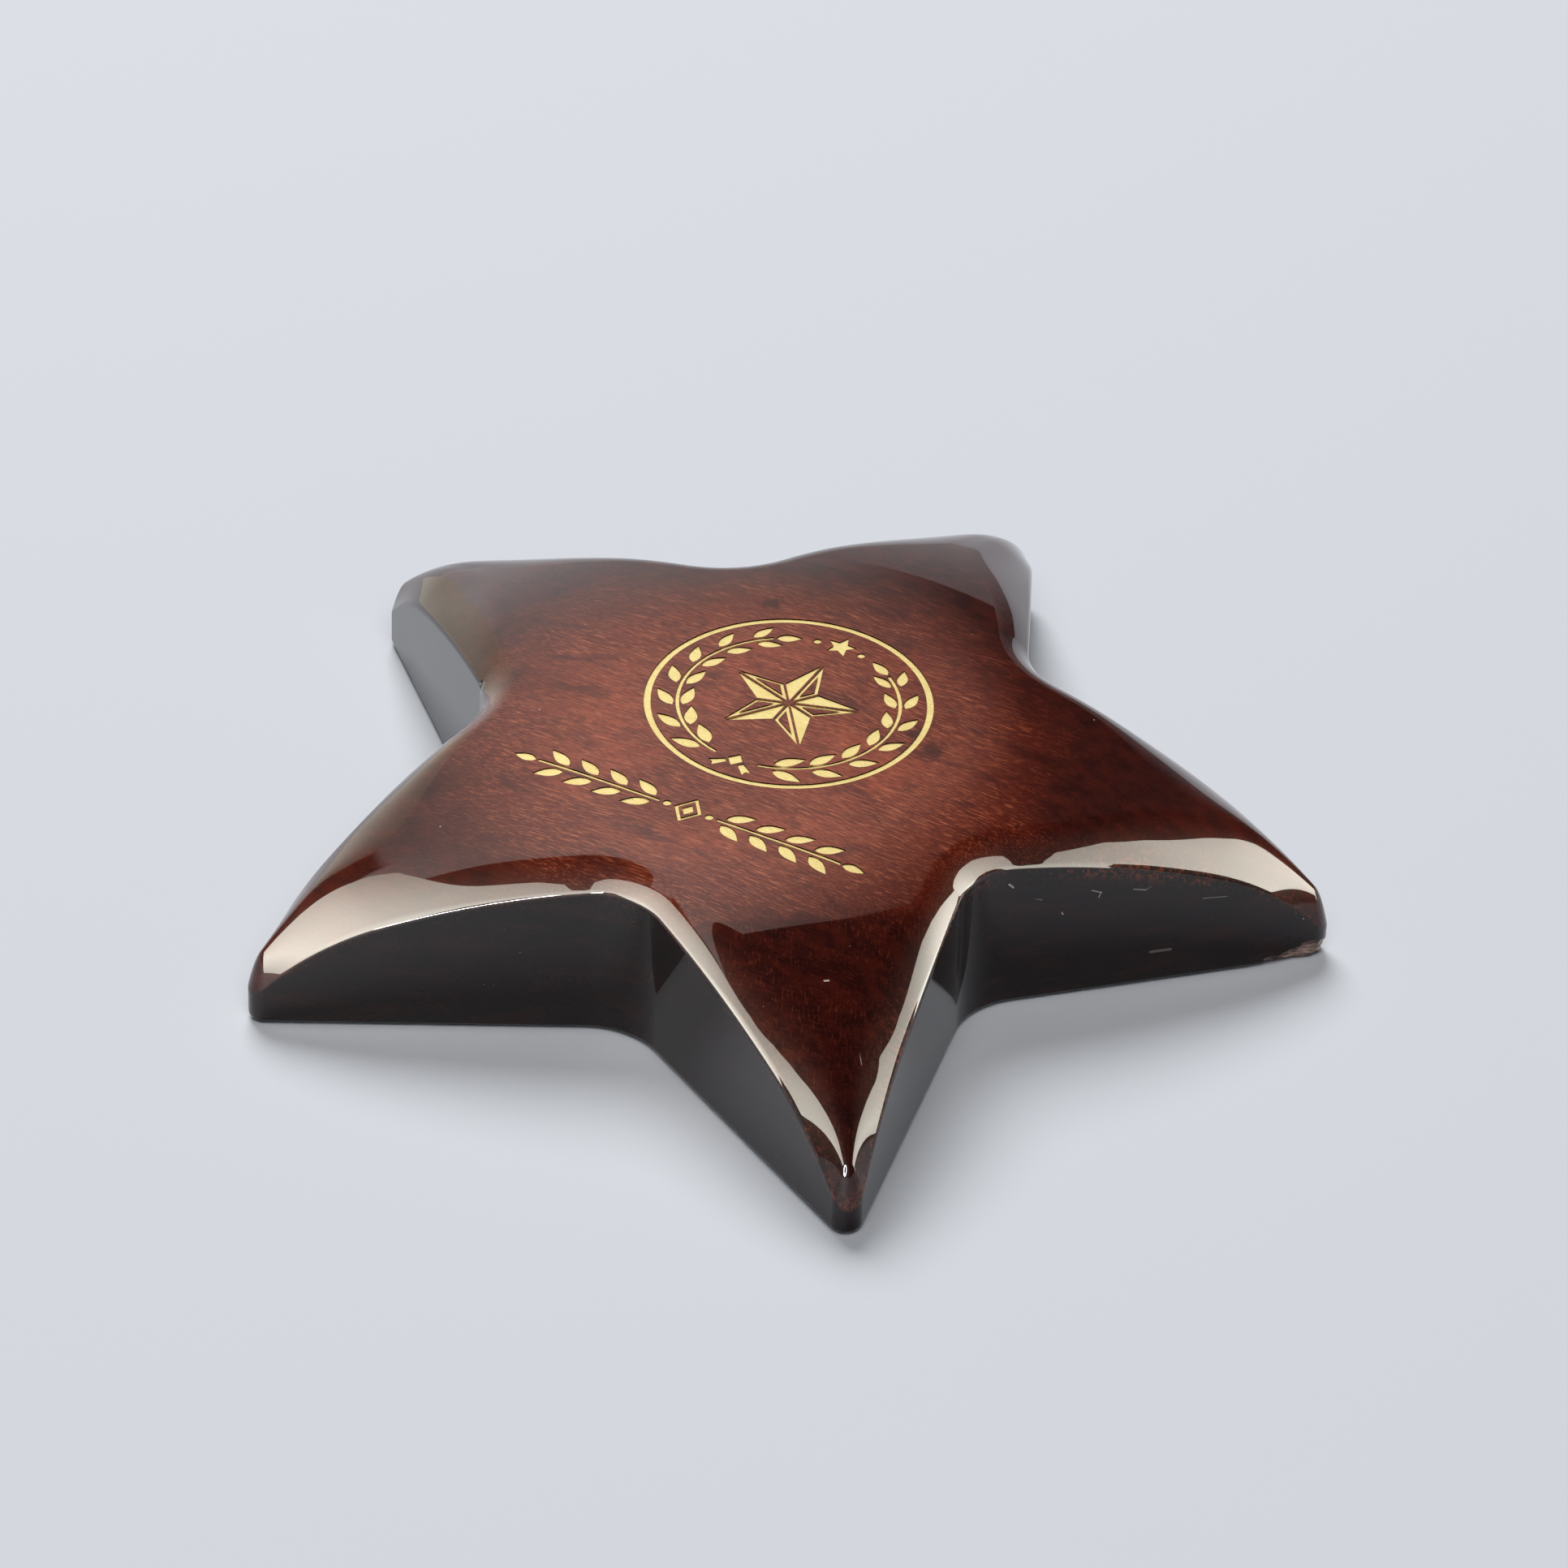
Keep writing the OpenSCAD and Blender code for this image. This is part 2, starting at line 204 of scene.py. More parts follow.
_n = GN.copy()
_n[..., 2] = 0
_n /= np.maximum(np.linalg.norm(_n, axis=-1, keepdims=True), 1e-9)
for k in range(len(FOOT_T)):
    _n[k] = GN[len(FOOT_T)]
GP = GP - _n * CHIP[..., None]

# --------------------------------------------------------------------------
# The engraving's outlines, the same shapes as the CAD model's
# --------------------------------------------------------------------------
def turn(p, deg):
    c, s = math.cos(math.radians(deg)), math.sin(math.radians(deg))
    p = np.asarray(p, float)
    return np.stack([p[:, 0] * c - p[:, 1] * s, p[:, 0] * s + p[:, 1] * c], 1)


def leaf(l, w, n=8):
    up = [[l * i / n, w / 2 * math.sin(math.pi * (i / n) ** 0.8)] for i in range(n + 1)]
    lo = [[l * i / n, -w / 2 * math.sin(math.pi * (i / n) ** 0.8)] for i in range(n - 1, 0, -1)]
    return np.array(up + lo)


def circle(r, c=(0, 0), n=48):
    a = np.linspace(0, 2 * math.pi, n, endpoint=False)
    return np.c_[c[0] + r * np.cos(a), c[1] + r * np.sin(a)]


def stroke(p, w):
    p = np.asarray(p, float)
    d = np.array([p[min(i + 1, len(p) - 1)] - p[max(i - 1, 0)] for i in range(len(p))])
    d /= np.linalg.norm(d, axis=1)[:, None]
    n = np.c_[d[:, 1], -d[:, 0]] * w / 2
    return np.r_[p + n, (p - n)[::-1]]


def tri_in(t, d):
    t = np.asarray(t, float)
    a, b, c = (np.linalg.norm(t[1] - t[2]), np.linalg.norm(t[2] - t[0]), np.linalg.norm(t[0] - t[1]))
    s = (a + b + c) / 2
    r = math.sqrt((s - a) * (s - b) * (s - c) / s)
    o = (t[0] * a + t[1] * b + t[2] * c) / (a + b + c)
    return o + (t - o) * (1 - d / r)


LEAF_L, LEAF_W, TILT, OFF = 4.3, 1.75, 24, 0.66
BR, BLO, BHI, BN, STEM = 14.0, -70, 44, 7, 0.46


def branch(side):
    out = []
    arc = [BLO - 8 + (BHI - BLO + 18) * i / 24 for i in range(25)]
    out.append(stroke([[BR * math.cos(math.radians(a)), BR * math.sin(math.radians(a))] for a in arc], STEM))
    for i in range(BN):
        a = BLO + (BHI - BLO) / (BN - 1) * i
        k = 1 - 0.2 * i / (BN - 1)
        for s in (-1, 1):
            out.append(turn(turn(leaf(LEAF_L * k, LEAF_W * k), 90 - s * TILT) + [BR + s * OFF, 0], a))
    out.append(turn(turn(leaf(LEAF_L * 0.8, LEAF_W * 0.85), 96) + [BR, 0], BHI + 11.2))
    return [p * [side, 1] for p in out]


def facets():
    out = []
    R, q, g, ln = 9.9, 0.42, 0.15, 0.42
    nl, nr = R * q * np.array([C36, S36]), R * q * np.array([C36, -S36])
    for k in range(5):
        a = 90 + 72 * k
        out.append(turn(tri_in([[0, 0], [R, 0], nl], g), a))
        out.append(turn(tri_in([[0, 0], nr, [R, 0]], g), a))
        out.append(turn(tri_in([[0, 0], nr, [R, 0]], g + ln), a))
    return out


def star_pts(r, q):
    return np.array([[(r if i % 2 == 0 else r * q) * math.cos(math.radians(90 + 36 * i)),
                      (r if i % 2 == 0 else r * q) * math.sin(math.radians(90 + 36 * i))] for i in range(10)])


def garland(side):
    L, lf, w = 24.6, 3.95, 1.65
    out = [stroke([[4, 0], [L - lf * 0.8 - 0.2, 0]], STEM)]
    for i in range(4):
        for s in (-1, 1):
            out.append(turn(leaf(lf, w), s * 30) + [4.9 + 4.1 * i, s * OFF])
    out.append(leaf(lf * 0.8, w * 0.85) + [L - lf * 0.8, 0])
    return [p * [side, 1] for p in out]


LOZ = np.array([[0, 2.6], [-1.9, 0], [0, -2.6], [1.9, 0]])
E, G = np.array([0, EMBLEM_Y]), np.array([0, LINE_Y])
SHAPES = {
    "emblem_ring": [circle(RING_R, n=192) + E, circle(RING_R - RING_W, n=192) + E],
    "emblem_star": [p + E for p in facets()],
    "emblem_crest": [star_pts(2.1, 0.45) + [0, 14] + E] + [turn([[0, 13.9]], s * 13) + circle(0.5, n=24) + E for s in (-1, 1)],
    "emblem_knot": [np.array([[0, 1.25], [-1.05, 0], [0, -1.25], [1.05, 0]]) + [0, -BR] + E] + [
        np.array([[0.75, -0.85], [1.3, -0.35], [3.1, -1.55], [2.35, -1.75], [2.2, -2.45]]) * [s, 1] + [0, -BR] + E for s in (-1, 1)],
    "laurel_left": [p + E for p in branch(-1)],
    "laurel_right": [p + E for p in branch(1)],
    "garland_left": [p + G for p in garland(-1)],
    "garland_right": [p + G for p in garland(1)],
    "garland_gem": [LOZ + G, 0.72 * LOZ + G, 0.42 * LOZ + G] + [circle(0.55, (s * 2.95, 0), 24) + G for s in (-1, 1)],
}


def resample(p, step):
    out = []
    for i in range(len(p)):
        a, b = p[i], p[(i + 1) % len(p)]
        n = max(1, int(math.ceil(np.linalg.norm(b - a) / step)))
        out += [a + (b - a) * j / n for j in range(n)]
    return np.array(out)


def inside(loop, q):
    x, y = q[:, 0][:, None], q[:, 1][:, None]
    a, b = loop, np.roll(loop, -1, 0)
    c = (a[:, 1][None] > y) != (b[:, 1][None] > y)
    dy = b[:, 1] - a[:, 1]
    xi = (b[:, 0] - a[:, 0]) * (y - a[:, 1]) / np.where(np.abs(dy) < 1e-12, 1e-12, dy) + a[:, 0]
    return ((c & (x < xi)).sum(1) % 2) == 1


LOOPS, OWNER = [], []
for name, ps in SHAPES.items():
    for p in ps:
        LOOPS.append(resample(p, 0.9))
        OWNER.append(name)
RIM = GP[-1][:, :2]

# interior points on a staggered grid, clear of every outline
h = 1.25
gx, gy = np.meshgrid(np.arange(-75.0, 75.0, h), np.arange(-75.0, 75.0, h * 0.866))
gx[1::2] += h / 2
Q = np.c_[gx.ravel(), gy.ravel()]
Q = Q[inside(RIM, Q)]
keep = np.ones(len(Q), bool)
for lp, gap in [(RIM, 0.5)] + [(l, 0.32) for l in LOOPS]:
    box = (Q[:, 0] > lp[:, 0].min() - 1) & (Q[:, 0] < lp[:, 0].max() + 1) & (Q[:, 1] > lp[:, 1].min() - 1) & (Q[:, 1] < lp[:, 1].max() + 1)
    idx = np.where(box & keep)[0]
    if not len(idx):
        continue
    a, b = lp, np.roll(lp, -1, 0)
    d = b - a
    q = Q[idx][:, None]
    t = np.clip(((q - a) * d).sum(-1) / np.maximum((d * d).sum(-1), 1e-12), 0, 1)
    dist = np.linalg.norm(q - (a + d * t[..., None]), axis=-1).min(1)
    keep[idx[dist < gap]] = False
Q = Q[keep]

verts2, edges2, start = [], [], 0
for lp in [RIM] + LOOPS:
    verts2.append(lp)
    edges2 += [(start + i, start + (i + 1) % len(lp)) for i in range(len(lp))]
    start += len(lp)
verts2.append(Q)
verts2 = np.concatenate(verts2)
res = geometry.delaunay_2d_cdt([Vector(v) for v in verts2], edges2, [], 0, 1e-7, True)
V2 = np.array([v[:] for v in res[0]])
TRI = np.array([f for f in res[2] if len(f) == 3])
orig = res[3]
cen = V2[TRI].mean(1)
a2 = V2[TRI]
area = (a2[:, 1, 0] - a2[:, 0, 0]) * (a2[:, 2, 1] - a2[:, 0, 1]) - (a2[:, 1, 1] - a2[:, 0, 1]) * (a2[:, 2, 0] - a2[:, 0, 0])
TRI[area < 0] = TRI[area < 0][:, ::-1]
ok = inside(RIM, cen) & (np.abs(area) > 1e-9)
TRI, cen = TRI[ok], cen[ok]
count = {n: np.zeros(len(TRI), int) for n in SHAPES}
for lp, o in zip(LOOPS, OWNER):
    count[o] += inside(lp, cen)
owner_of = np.full(len(TRI), -1)
names = list(SHAPES)
for i, n in enumerate(names):
    owner_of[count[n] % 2 == 1] = i

# --------------------------------------------------------------------------
# Mesh helpers
# --------------------------------------------------------------------------
def new_object(name, verts, faces, loop_normals=None, smooth=True):
    me = bpy.data.meshes.new(name)
    me.from_pydata([tuple(v) for v in np.asarray(verts) * MM], [], [tuple(int(i) for i in f) for f in faces])
    me.validate(clean_customdata=False)
    if smooth:
        me.shade_smooth()
    if loop_normals is not None:
        me.normals_split_custom_set([tuple(n) for n in loop_normals])
    me.update()
    ob = bpy.data.objects.new(name, me)
    bpy.context.scene.collection.objects.link(ob)
    return ob


# --------------------------------------------------------------------------
# Star body
# --------------------------------------------------------------------------
verts = list(GP.reshape(-1, 3))
norms = list(GN.reshape(-1, 3))
top_row = (NR - 1) * NC
vid = np.full(len(V2), -1)
for i, o in enumerate(orig):
    if o and min(o) < NC:
        vid[i] = top_row + min(o)
z2 = crown(np.hypot(V2[:, 0], V2[:, 1]))
n2 = crown_normal(V2[:, 0], V2[:, 1])
used = np.unique(TRI[owner_of < 0])
for i in used:
    if vid[i] < 0:
        vid[i] = len(verts)
        verts.append(np.array([V2[i, 0], V2[i, 1], z2[i]]))
        norms.append(n2[i])
faces, kinds, fnorm = [], [], []   # kinds: 0 skin (vertex normals), 1 own normal
for k in range(NR - 1):
    for i in range(NC):
        j = (i + 1) % NC
        faces.append((k * NC + i, k * NC + j, (k + 1) * NC + j, (k + 1) * NC + i))
        kinds.append(0); fnorm.append(None)
for t in TRI[owner_of < 0]:
    faces.append(tuple(vid[t])); kinds.append(0); fnorm.append(None)
# pocket floors and walls
floor_id = {}
for t in TRI[owner_of >= 0]:
    f = []
    for i in t:
        if i not in floor_id:
            floor_id[i] = len(verts)
            verts.append(np.array([V2[i, 0], V2[i, 1], z2[i] - POCKET]))
            norms.append(n2[i])
        f.append(floor_id[i])
    faces.append(tuple(f)); kinds.append(0); fnorm.append(None)
# edges that separate a pocket from the top
edge_side = {}
for ti, t in enumerate(TRI):
    for a, b in ((t[0], t[1]), (t[1], t[2]), (t[2], t[0])):
        edge_side[(a, b)] = owner_of[ti] >= 0
WALLS = []
for (a, b), pocket in edge_side.items():
    if pocket and edge_side.get((b, a)) is False:
        WALLS.append((a, b))
for a, b in WALLS:
    d = V2[b] - V2[a]
    n = np.array([-d[1], d[0], 0]) / np.hypot(*d)
    faces.append((vid[a], vid[b], floor_id[b], floor_id[a]))
    kinds.append(1); fnorm.append(n)

# underside with the recess for the pad
def pad_half(d):
    k = 1 - d / (TIP_REACH * SA)
    rt = 1.2
    c = TIP_REACH * k - rt / SA
    nr = NOTCH_R + d
    nc = RHO * k + nr / math.sin(math.radians(36) + AL)
    out = []
    for i in range(9):
        f = (math.pi / 2 - AL) * i / 8
        out.append([c + rt * math.cos(f), rt * math.sin(f)])
    a = np.array(out[-1])
    notch = []
    for i in range(17):
        f = (math.pi / 2 - AL) - (math.radians(54) - AL) * i / 16
        notch.append([nc * C36 - nr * math.cos(f), nc * S36 - nr * math.sin(f)])
    b = np.array(notch[0])
    out += [list(a + (b - a) * i / 12) for i in range(1, 12)] + notch
    return np.array(out)


def pad_loop(d):
    hlf = pad_half(d)
    arm = np.concatenate([(hlf * [1, -1])[-2:0:-1], hlf])
    return np.concatenate([turn(arm, 90 + 72 * k) for k in range(5)])


REC = pad_loop(PAD_INSET)
base_loop = GP[0][:, :2]
res_b = geometry.delaunay_2d_cdt([Vector(v) for v in np.r_[base_loop, REC]],
                                 [(i, (i + 1) % NC) for i in range(NC)] + [(NC + i, NC + (i + 1) % len(REC)) for i in range(len(REC))],
                                 [], 0, 1e-7, True)
VB = np.array([v[:] for v in res_b[0]])
TB = np.array([f for f in res_b[2] if len(f) == 3])
ab = VB[TB]
ar = (ab[:, 1, 0] - ab[:, 0, 0]) * (ab[:, 2, 1] - ab[:, 0, 1]) - (ab[:, 1, 1] - ab[:, 0, 1]) * (ab[:, 2, 0] - ab[:, 0, 0])
TB[ar > 0] = TB[ar > 0][:, ::-1]
cb = VB[TB].mean(1)
in_base, in_rec = inside(base_loop, cb), inside(REC, cb)
vb_low, vb_high = {}, {}
for i, o in enumerate(res_b[3]):
    if o and min(o) < NC:
        vb_low[i] = min(o)
DOWN = np.array([0, 0, -1.0])
recz = FELT_T + FILM_T
for t, bi, ri in zip(TB, in_base, in_rec):
    if not bi:
        continue
    f = []
    for i in t:
        if ri:
            if i not in vb_high:
                vb_high[i] = len(verts)
                verts.append(np.array([VB[i, 0], VB[i, 1], recz])); norms.append(DOWN)
            f.append(vb_high[i])
        else:
            if i not in vb_low:
                vb_low[i] = len(verts)
                verts.append(np.array([VB[i, 0], VB[i, 1], PROUD])); norms.append(DOWN)
            f.append(vb_low[i])
    faces.append(tuple(f)); kinds.append(1); fnorm.append(DOWN)
side_b = {}
for ti, t in enumerate(TB):
    if in_base[ti]:
        for a, b in ((t[0], t[1]), (t[1], t[2]), (t[2], t[0])):
            side_b[(a, b)] = bool(in_rec[ti])
for (a, b), rec in side_b.items():
    if rec and side_b.get((b, a)) is False:
        d = VB[b] - VB[a]
        n = np.array([d[1], -d[0], 0]) / np.hypot(*d)
        faces.append((vb_high[a], vb_high[b], vb_low[b], vb_low[a]))
        kinds.append(1); fnorm.append(n)

verts, norms = np.array(verts), np.array(norms)
hurt = np.zeros(len(verts), bool)
hurt[:NR * NC] = (CHIP > 0).ravel()
acc = np.zeros_like(verts)
for f, k in zip(faces, kinds):
    if k == 0 and hurt[list(f)].any():
        p = verts[list(f)]
        m = np.cross(p[2] - p[0], p[-1] - p[1])
        for i in f:
            acc[i] += m
sel = np.linalg.norm(acc, axis=1) > 1e-9
full = hurt & sel
norms[full] = acc[full] / np.linalg.norm(acc[full], axis=1)[:, None]
loopn = []
for f, k, fn in zip(faces, kinds, fnorm):
    for i in f:
        loopn.append(norms[i] if k == 0 else fn)
body = new_object("star_body_shell", verts, faces, loopn)
zone = np.zeros((len(verts), 4), np.float32)
zone[:NR * NC, 0] = np.repeat(ROW_WALL, NC)
zone[:NR * NC, 1] = np.repeat(ROW_ARRIS, NC)
for i in floor_id.values():
    zone[i, 2] = 1
low = list(vb_high.values()) + [i for i in vb_low.values() if i >= NR * NC]
zone[low, 0] = 1
zone[:NR * NC, 3] = np.repeat(ROW_FOOT, NC)
at = body.data.color_attributes.new("zone", "FLOAT_COLOR", "POINT")
at.data.foreach_set("color", zone.ravel())
chipped = np.zeros((len(verts), 4), np.float32)
chipped[:NR * NC, 0] = np.clip(CHIP / 0.25, 0, 1).ravel()
at = body.data.color_attributes.new("chipped", "FLOAT_COLOR", "POINT")
at.data.foreach_set("color", chipped.ravel())

# --------------------------------------------------------------------------
# Gold deposits
# --------------------------------------------------------------------------
gold = {}
for gi, gname in enumerate(names):
    tris = TRI[owner_of == gi]
    ids = np.unique(tris)
    m = {i: k for k, i in enumerate(ids)}
    n = len(ids)
    top_v = np.c_[V2[ids], z2[ids] - RECESS]
    bot_v = np.c_[V2[ids], z2[ids] - POCKET]
    fs, ln = [], []
    nt = n2[ids]
    for t in tris:
        f = [m[i] for i in t]
        fs.append(tuple(f)); ln += [nt[i] for i in f]
    for t in tris:
        f = [m[i] + n for i in t][::-1]
        fs.append(tuple(f)); ln += [DOWN] * 3
    es = {}
    for t in tris:
        for a, b in ((t[0], t[1]), (t[1], t[2]), (t[2], t[0])):
            es[(a, b)] = 1
    for (a, b) in es:
        if (b, a) not in es:
            d = V2[b] - V2[a]
            nn = np.array([d[1], -d[0], 0]) / np.hypot(*d)
            fs.append((m[b], m[a], m[a] + n, m[b] + n)); ln += [nn] * 4
    gold[gname] = new_object(gname + "_fill", np.r_[top_v, bot_v], fs, ln)

# --------------------------------------------------------------------------
# Felt pad: soft rounded rim and a slightly uneven face
# --------------------------------------------------------------------------
def fill_loop(loop, z, up, dens, wob):
    """triangulated sheet inside loop"""
    gx, gy = np.meshgrid(np.arange(-75.0, 75.0, dens), np.arange(-75.0, 75.0, dens * 0.866))
    gx[1::2] += dens / 2
    q = np.c_[gx.ravel(), gy.ravel()]
    q = q[inside(loop, q)]
    a, b = loop, np.roll(loop, -1, 0)
    d = b - a
    kk = []
    for c in np.array_split(q, 20):
        t = np.clip(((c[:, None] - a) * d).sum(-1) / (d * d).sum(-1), 0, 1)
        kk.append(np.linalg.norm(c[:, None] - (a + d * t[..., None]), axis=-1).min(1))
    q = q[np.concatenate(kk) > dens * 0.4]
    r = geometry.delaunay_2d_cdt([Vector(v) for v in np.r_[loop, q]], [(i, (i + 1) % len(loop)) for i in range(len(loop))], [], 0, 1e-7, True)
    v = np.array([x[:] for x in r[0]])
    t = np.array([f for f in r[2] if len(f) == 3])
    t = t[inside(loop, v[t].mean(1))]
    at = v[t]
    s = (at[:, 1, 0] - at[:, 0, 0]) * (at[:, 2, 1] - at[:, 0, 1]) - (at[:, 1, 1] - at[:, 0, 1]) * (at[:, 2, 0] - at[:, 0, 0])
    flip = (s < 0) if up else (s > 0)
    t[flip] = t[flip][:, ::-1]
    return v, t, r[3]


PAD = pad_loop(PAD_INSET + PAD_GAP)
PADI = pad_loop(PAD_INSET + PAD_GAP + 0.22)
PADJ = pad_loop(PAD_INSET + PAD_GAP + 0.07)
M = len(PAD)
rng = np.random.default_rng(7)
loops = [(PADI, 0.0), (PADJ, 0.09), (PAD, 0.3), (PAD, 0.62), (PAD, 0.95), (PADJ, 1.13), (PADI, FELT_T)]
fv = [np.c_[l, np.full(M, z)] for l, z in loops]
ff = []
for k in range(len(loops) - 1):
    for i in range(M):
        j = (i + 1) % M
        ff.append((k * M + i, k * M + j, (k + 1) * M + j, (k + 1) * M + i))
base = len(loops) * M
fverts = list(np.concatenate(fv))
for top_side in (False, True):
    v, t, o = fill_loop(PADI, 0, top_side, 1.5, 0)
    ring0 = (len(loops) - 1) * M if top_side else 0
    mp = {}
    for i in range(len(v)):
        if o[i] and min(o[i]) < M:
            mp[i] = ring0 + min(o[i])
        else:
            mp[i] = len(fverts)
            zz = FELT_T if top_side else abs(rng.normal(0, 0.02))
            fverts.append(np.array([v[i, 0], v[i, 1], zz]))
    for f in t:
        ff.append(tuple(mp[i] for i in f))
felt = new_object("felt_pad_soft", np.array(fverts), ff)

# adhesive film
AD = pad_loop(PAD_INSET + PAD_GAP)
v, t, o = fill_loop(AD, 0, True, 6, 0)
na = len(v)
av = np.r_[np.c_[v, np.full(na, FELT_T + FILM_T)], np.c_[v, np.full(na, FELT_T)]]
af = [tuple(f) for f in t] + [tuple(f[::-1] + na) for f in t]
inv = {}
for i in range(na):
    if o[i] and min(o[i]) < len(AD):
        inv[min(o[i])] = i
for i in range(len(AD)):
    a, b = inv[i], inv[(i + 1) % len(AD)]
    af.append((b, a, a + na, b + na))
film = new_object("adhesive_film_sheet", av, af, smooth=False)

# --------------------------------------------------------------------------
# Materials: small helpers for node trees
# --------------------------------------------------------------------------
class Tree:
    def __init__(self, name):
        self.mat = bpy.data.materials.new(name)
        self.mat.use_nodes = True
        self.nt = self.mat.node_tree
        self.nt.nodes.clear()
        self.out = self.nt.nodes.new("ShaderNodeOutputMaterial")
        self.bsdf = self.nt.nodes.new("ShaderNodeBsdfPrincipled")
        self.nt.links.new(self.bsdf.outputs[0], self.out.inputs[0])
        co = self.nt.nodes.new("ShaderNodeTexCoord")
        self.mm = self.vec("MULTIPLY", co.outputs["Object"], (1000, 1000, 1000))

    def set(self, **kw):
        for k, v in kw.items():
            self.bsdf.inputs[k.replace("_", " ")].default_value = v

    def plug(self, sock, v):
        if hasattr(v, "is_linked") or hasattr(v, "links"):
            self.nt.links.new(v, sock)
        else:
            sock.default_value = v

    def math(self, op, a, b=0.0, c=0.0, clamp=False):
        n = self.nt.nodes.new("ShaderNodeMath")
        n.operation, n.use_clamp = op, clamp
        self.plug(n.inputs[0], a)
        self.plug(n.inputs[1], b)
        self.plug(n.inputs[2], c)
        return n.outputs[0]

    def vec(self, op, a, b=(0, 0, 0)):
        n = self.nt.nodes.new("ShaderNodeVectorMath")
        n.operation = op
        self.plug(n.inputs[0], a)
        self.plug(n.inputs[1], b)
        return n.outputs["Value"] if op in ("LENGTH", "DISTANCE", "DOT_PRODUCT") else n.outputs["Vector"]

    def stretch(self, sx, sy, sz, move=(0, 0, 0), src=None):
        v = self.vec("MULTIPLY", src or self.mm, (sx, sy, sz))
        return self.vec("ADD", v, move)

    def noise(self, v, scale=1.0, detail=3.0, rough=0.5, dist=0.0):
        n = self.nt.nodes.new("ShaderNodeTexNoise")
        self.plug(n.inputs["Vector"], v)
        n.inputs["Scale"].default_value = scale
        n.inputs["Detail"].default_value = detail
        n.inputs["Roughness"].default_value = rough
        n.inputs["Distortion"].default_value = dist
        return n.outputs["Fac"]

    def cells(self, v, scale=1.0, feature="F1"):
        n = self.nt.nodes.new("ShaderNodeTexVoronoi")
        n.feature = feature
        self.plug(n.inputs["Vector"], v)
        n.inputs["Scale"].default_value = scale
        return n

    def ramp(self, x, lo, hi, out_lo=0.0, out_hi=1.0):
        n = self.nt.nodes.new("ShaderNodeMapRange")
        n.interpolation_type = "SMOOTHSTEP"
        self.plug(n.inputs["Value"], x)
        n.inputs["From Min"].default_value = lo
        n.inputs["From Max"].default_value = hi
        n.inputs["To Min"].default_value = out_lo
        n.inputs["To Max"].default_value = out_hi
        return n.outputs["Result"]

    def mix(self, f, a, b, mode="MIX"):
        n = self.nt.nodes.new("ShaderNodeMix")
        n.data_type, n.blend_type, n.clamp_factor = "RGBA", mode, True
        self.plug(n.inputs["Factor"], f)
        self.plug(n.inputs[6], a)
        self.plug(n.inputs[7], b)
        return n.outputs[2]

    def spot(self, p, r0, r1):
        """1 inside r0 mm of point p, fading to 0 at r1"""
        return self.ramp(self.vec("DISTANCE", self.mm, p), r0, r1, 1.0, 0.0)

    def bump(self, h, strength, dist, normal=None):
        n = self.nt.nodes.new("ShaderNodeBump")
        n.inputs["Strength"].default_value = strength
        n.inputs["Distance"].default_value = dist
        self.plug(n.inputs["Height"], h)
        if normal is not None:
            self.plug(n.inputs["Normal"], normal)
        return n.outputs["Normal"]


# ---- stained wood under clear lacquer ------------------------------------
T = Tree("lacquered_wood")
za = T.nt.nodes.new("ShaderNodeVertexColor"); za.layer_name = "zone"
sep = T.nt.nodes.new("ShaderNodeSeparateColor"); T.nt.links.new(za.outputs["Color"], sep.inputs[0])
WALL, ARRIS, POCK, FOOT = sep.outputs[0], sep.outputs[1], sep.outputs[2], za.outputs["Alpha"]
ca = T.nt.nodes.new("ShaderNodeVertexColor"); ca.layer_name = "chipped"
sep2 = T.nt.nodes.new("ShaderNodeSeparateColor"); T.nt.links.new(ca.outputs["Color"], sep2.inputs[0])
CHIPPED = sep2.outputs[0]

radius = T.vec("LENGTH", T.vec("MULTIPLY", T.mm, (1, 1, 0)))
blot = T.noise(T.stretch(0.075, 0.11, 0.1), 1.0, 4.0, 0.55, 0.6)          # large patches
blot2 = T.noise(T.stretch(0.30, 0.5, 0.4, (5, 2, 1)), 1.0, 3.0, 0.5, 0.3)   # 3 mm mottling
warp = T.noise(T.stretch(0.05, 0.05, 0.05, (9, 3, 0)), 1.0, 1.0)
wy = T.nt.nodes.new("ShaderNodeCombineXYZ")
T.plug(wy.inputs[1], T.math("MULTIPLY", warp, 4.0))
gv = T.vec("ADD", T.mm, wy.outputs[0])
fib = T.noise(T.stretch(0.34, 5.2, 5.2, src=gv), 1.0, 3.0, 0.6)              # fibres along X
fib2 = T.noise(T.stretch(0.9, 11.0, 11.0, (3, 1, 7), src=gv), 1.0, 2.0, 0.5)
pore = T.noise(T.stretch(0.55, 7.5, 7.5, (1, 8, 2), src=gv), 1.0, 1.0, 0.5)

# the clear middle sits a little towards the viewer's side, as the stain was sprayed
off = T.vec("LENGTH", T.vec("MULTIPLY", T.vec("SUBTRACT", T.mm, (-1.0, -7.0, 0.0)), (1, 1, 0)))
reach = T.math("ADD", off, T.math("MULTIPLY", T.math("SUBTRACT", blot, 0.5), 30.0))
burst = T.math("MAXIMUM", T.ramp(reach, 19.0, 45.0), T.ramp(radius, 36.0, 49.0))
front = T.math("ADD", T.vec("DOT_PRODUCT", T.mm, (0.588, -0.809, 0)), T.math("MULTIPLY", T.math("SUBTRACT", blot2, 0.5), 5.0))
burst = T.math("MAXIMUM", burst, T.ramp(front, 36.0, 40.5))                                            # darker towards the arms
light = T.mix(T.ramp(blot, 0.36, 0.66), (0.100, 0.018, 0.009, 1), (0.225, 0.045, 0.021, 1))
light = T.mix(T.ramp(blot2, 0.3, 0.72, 0.0, 0.5), light, (0.12, 0.024, 0.012, 1))
streak = T.ramp(fib, 0.49, 0.67)
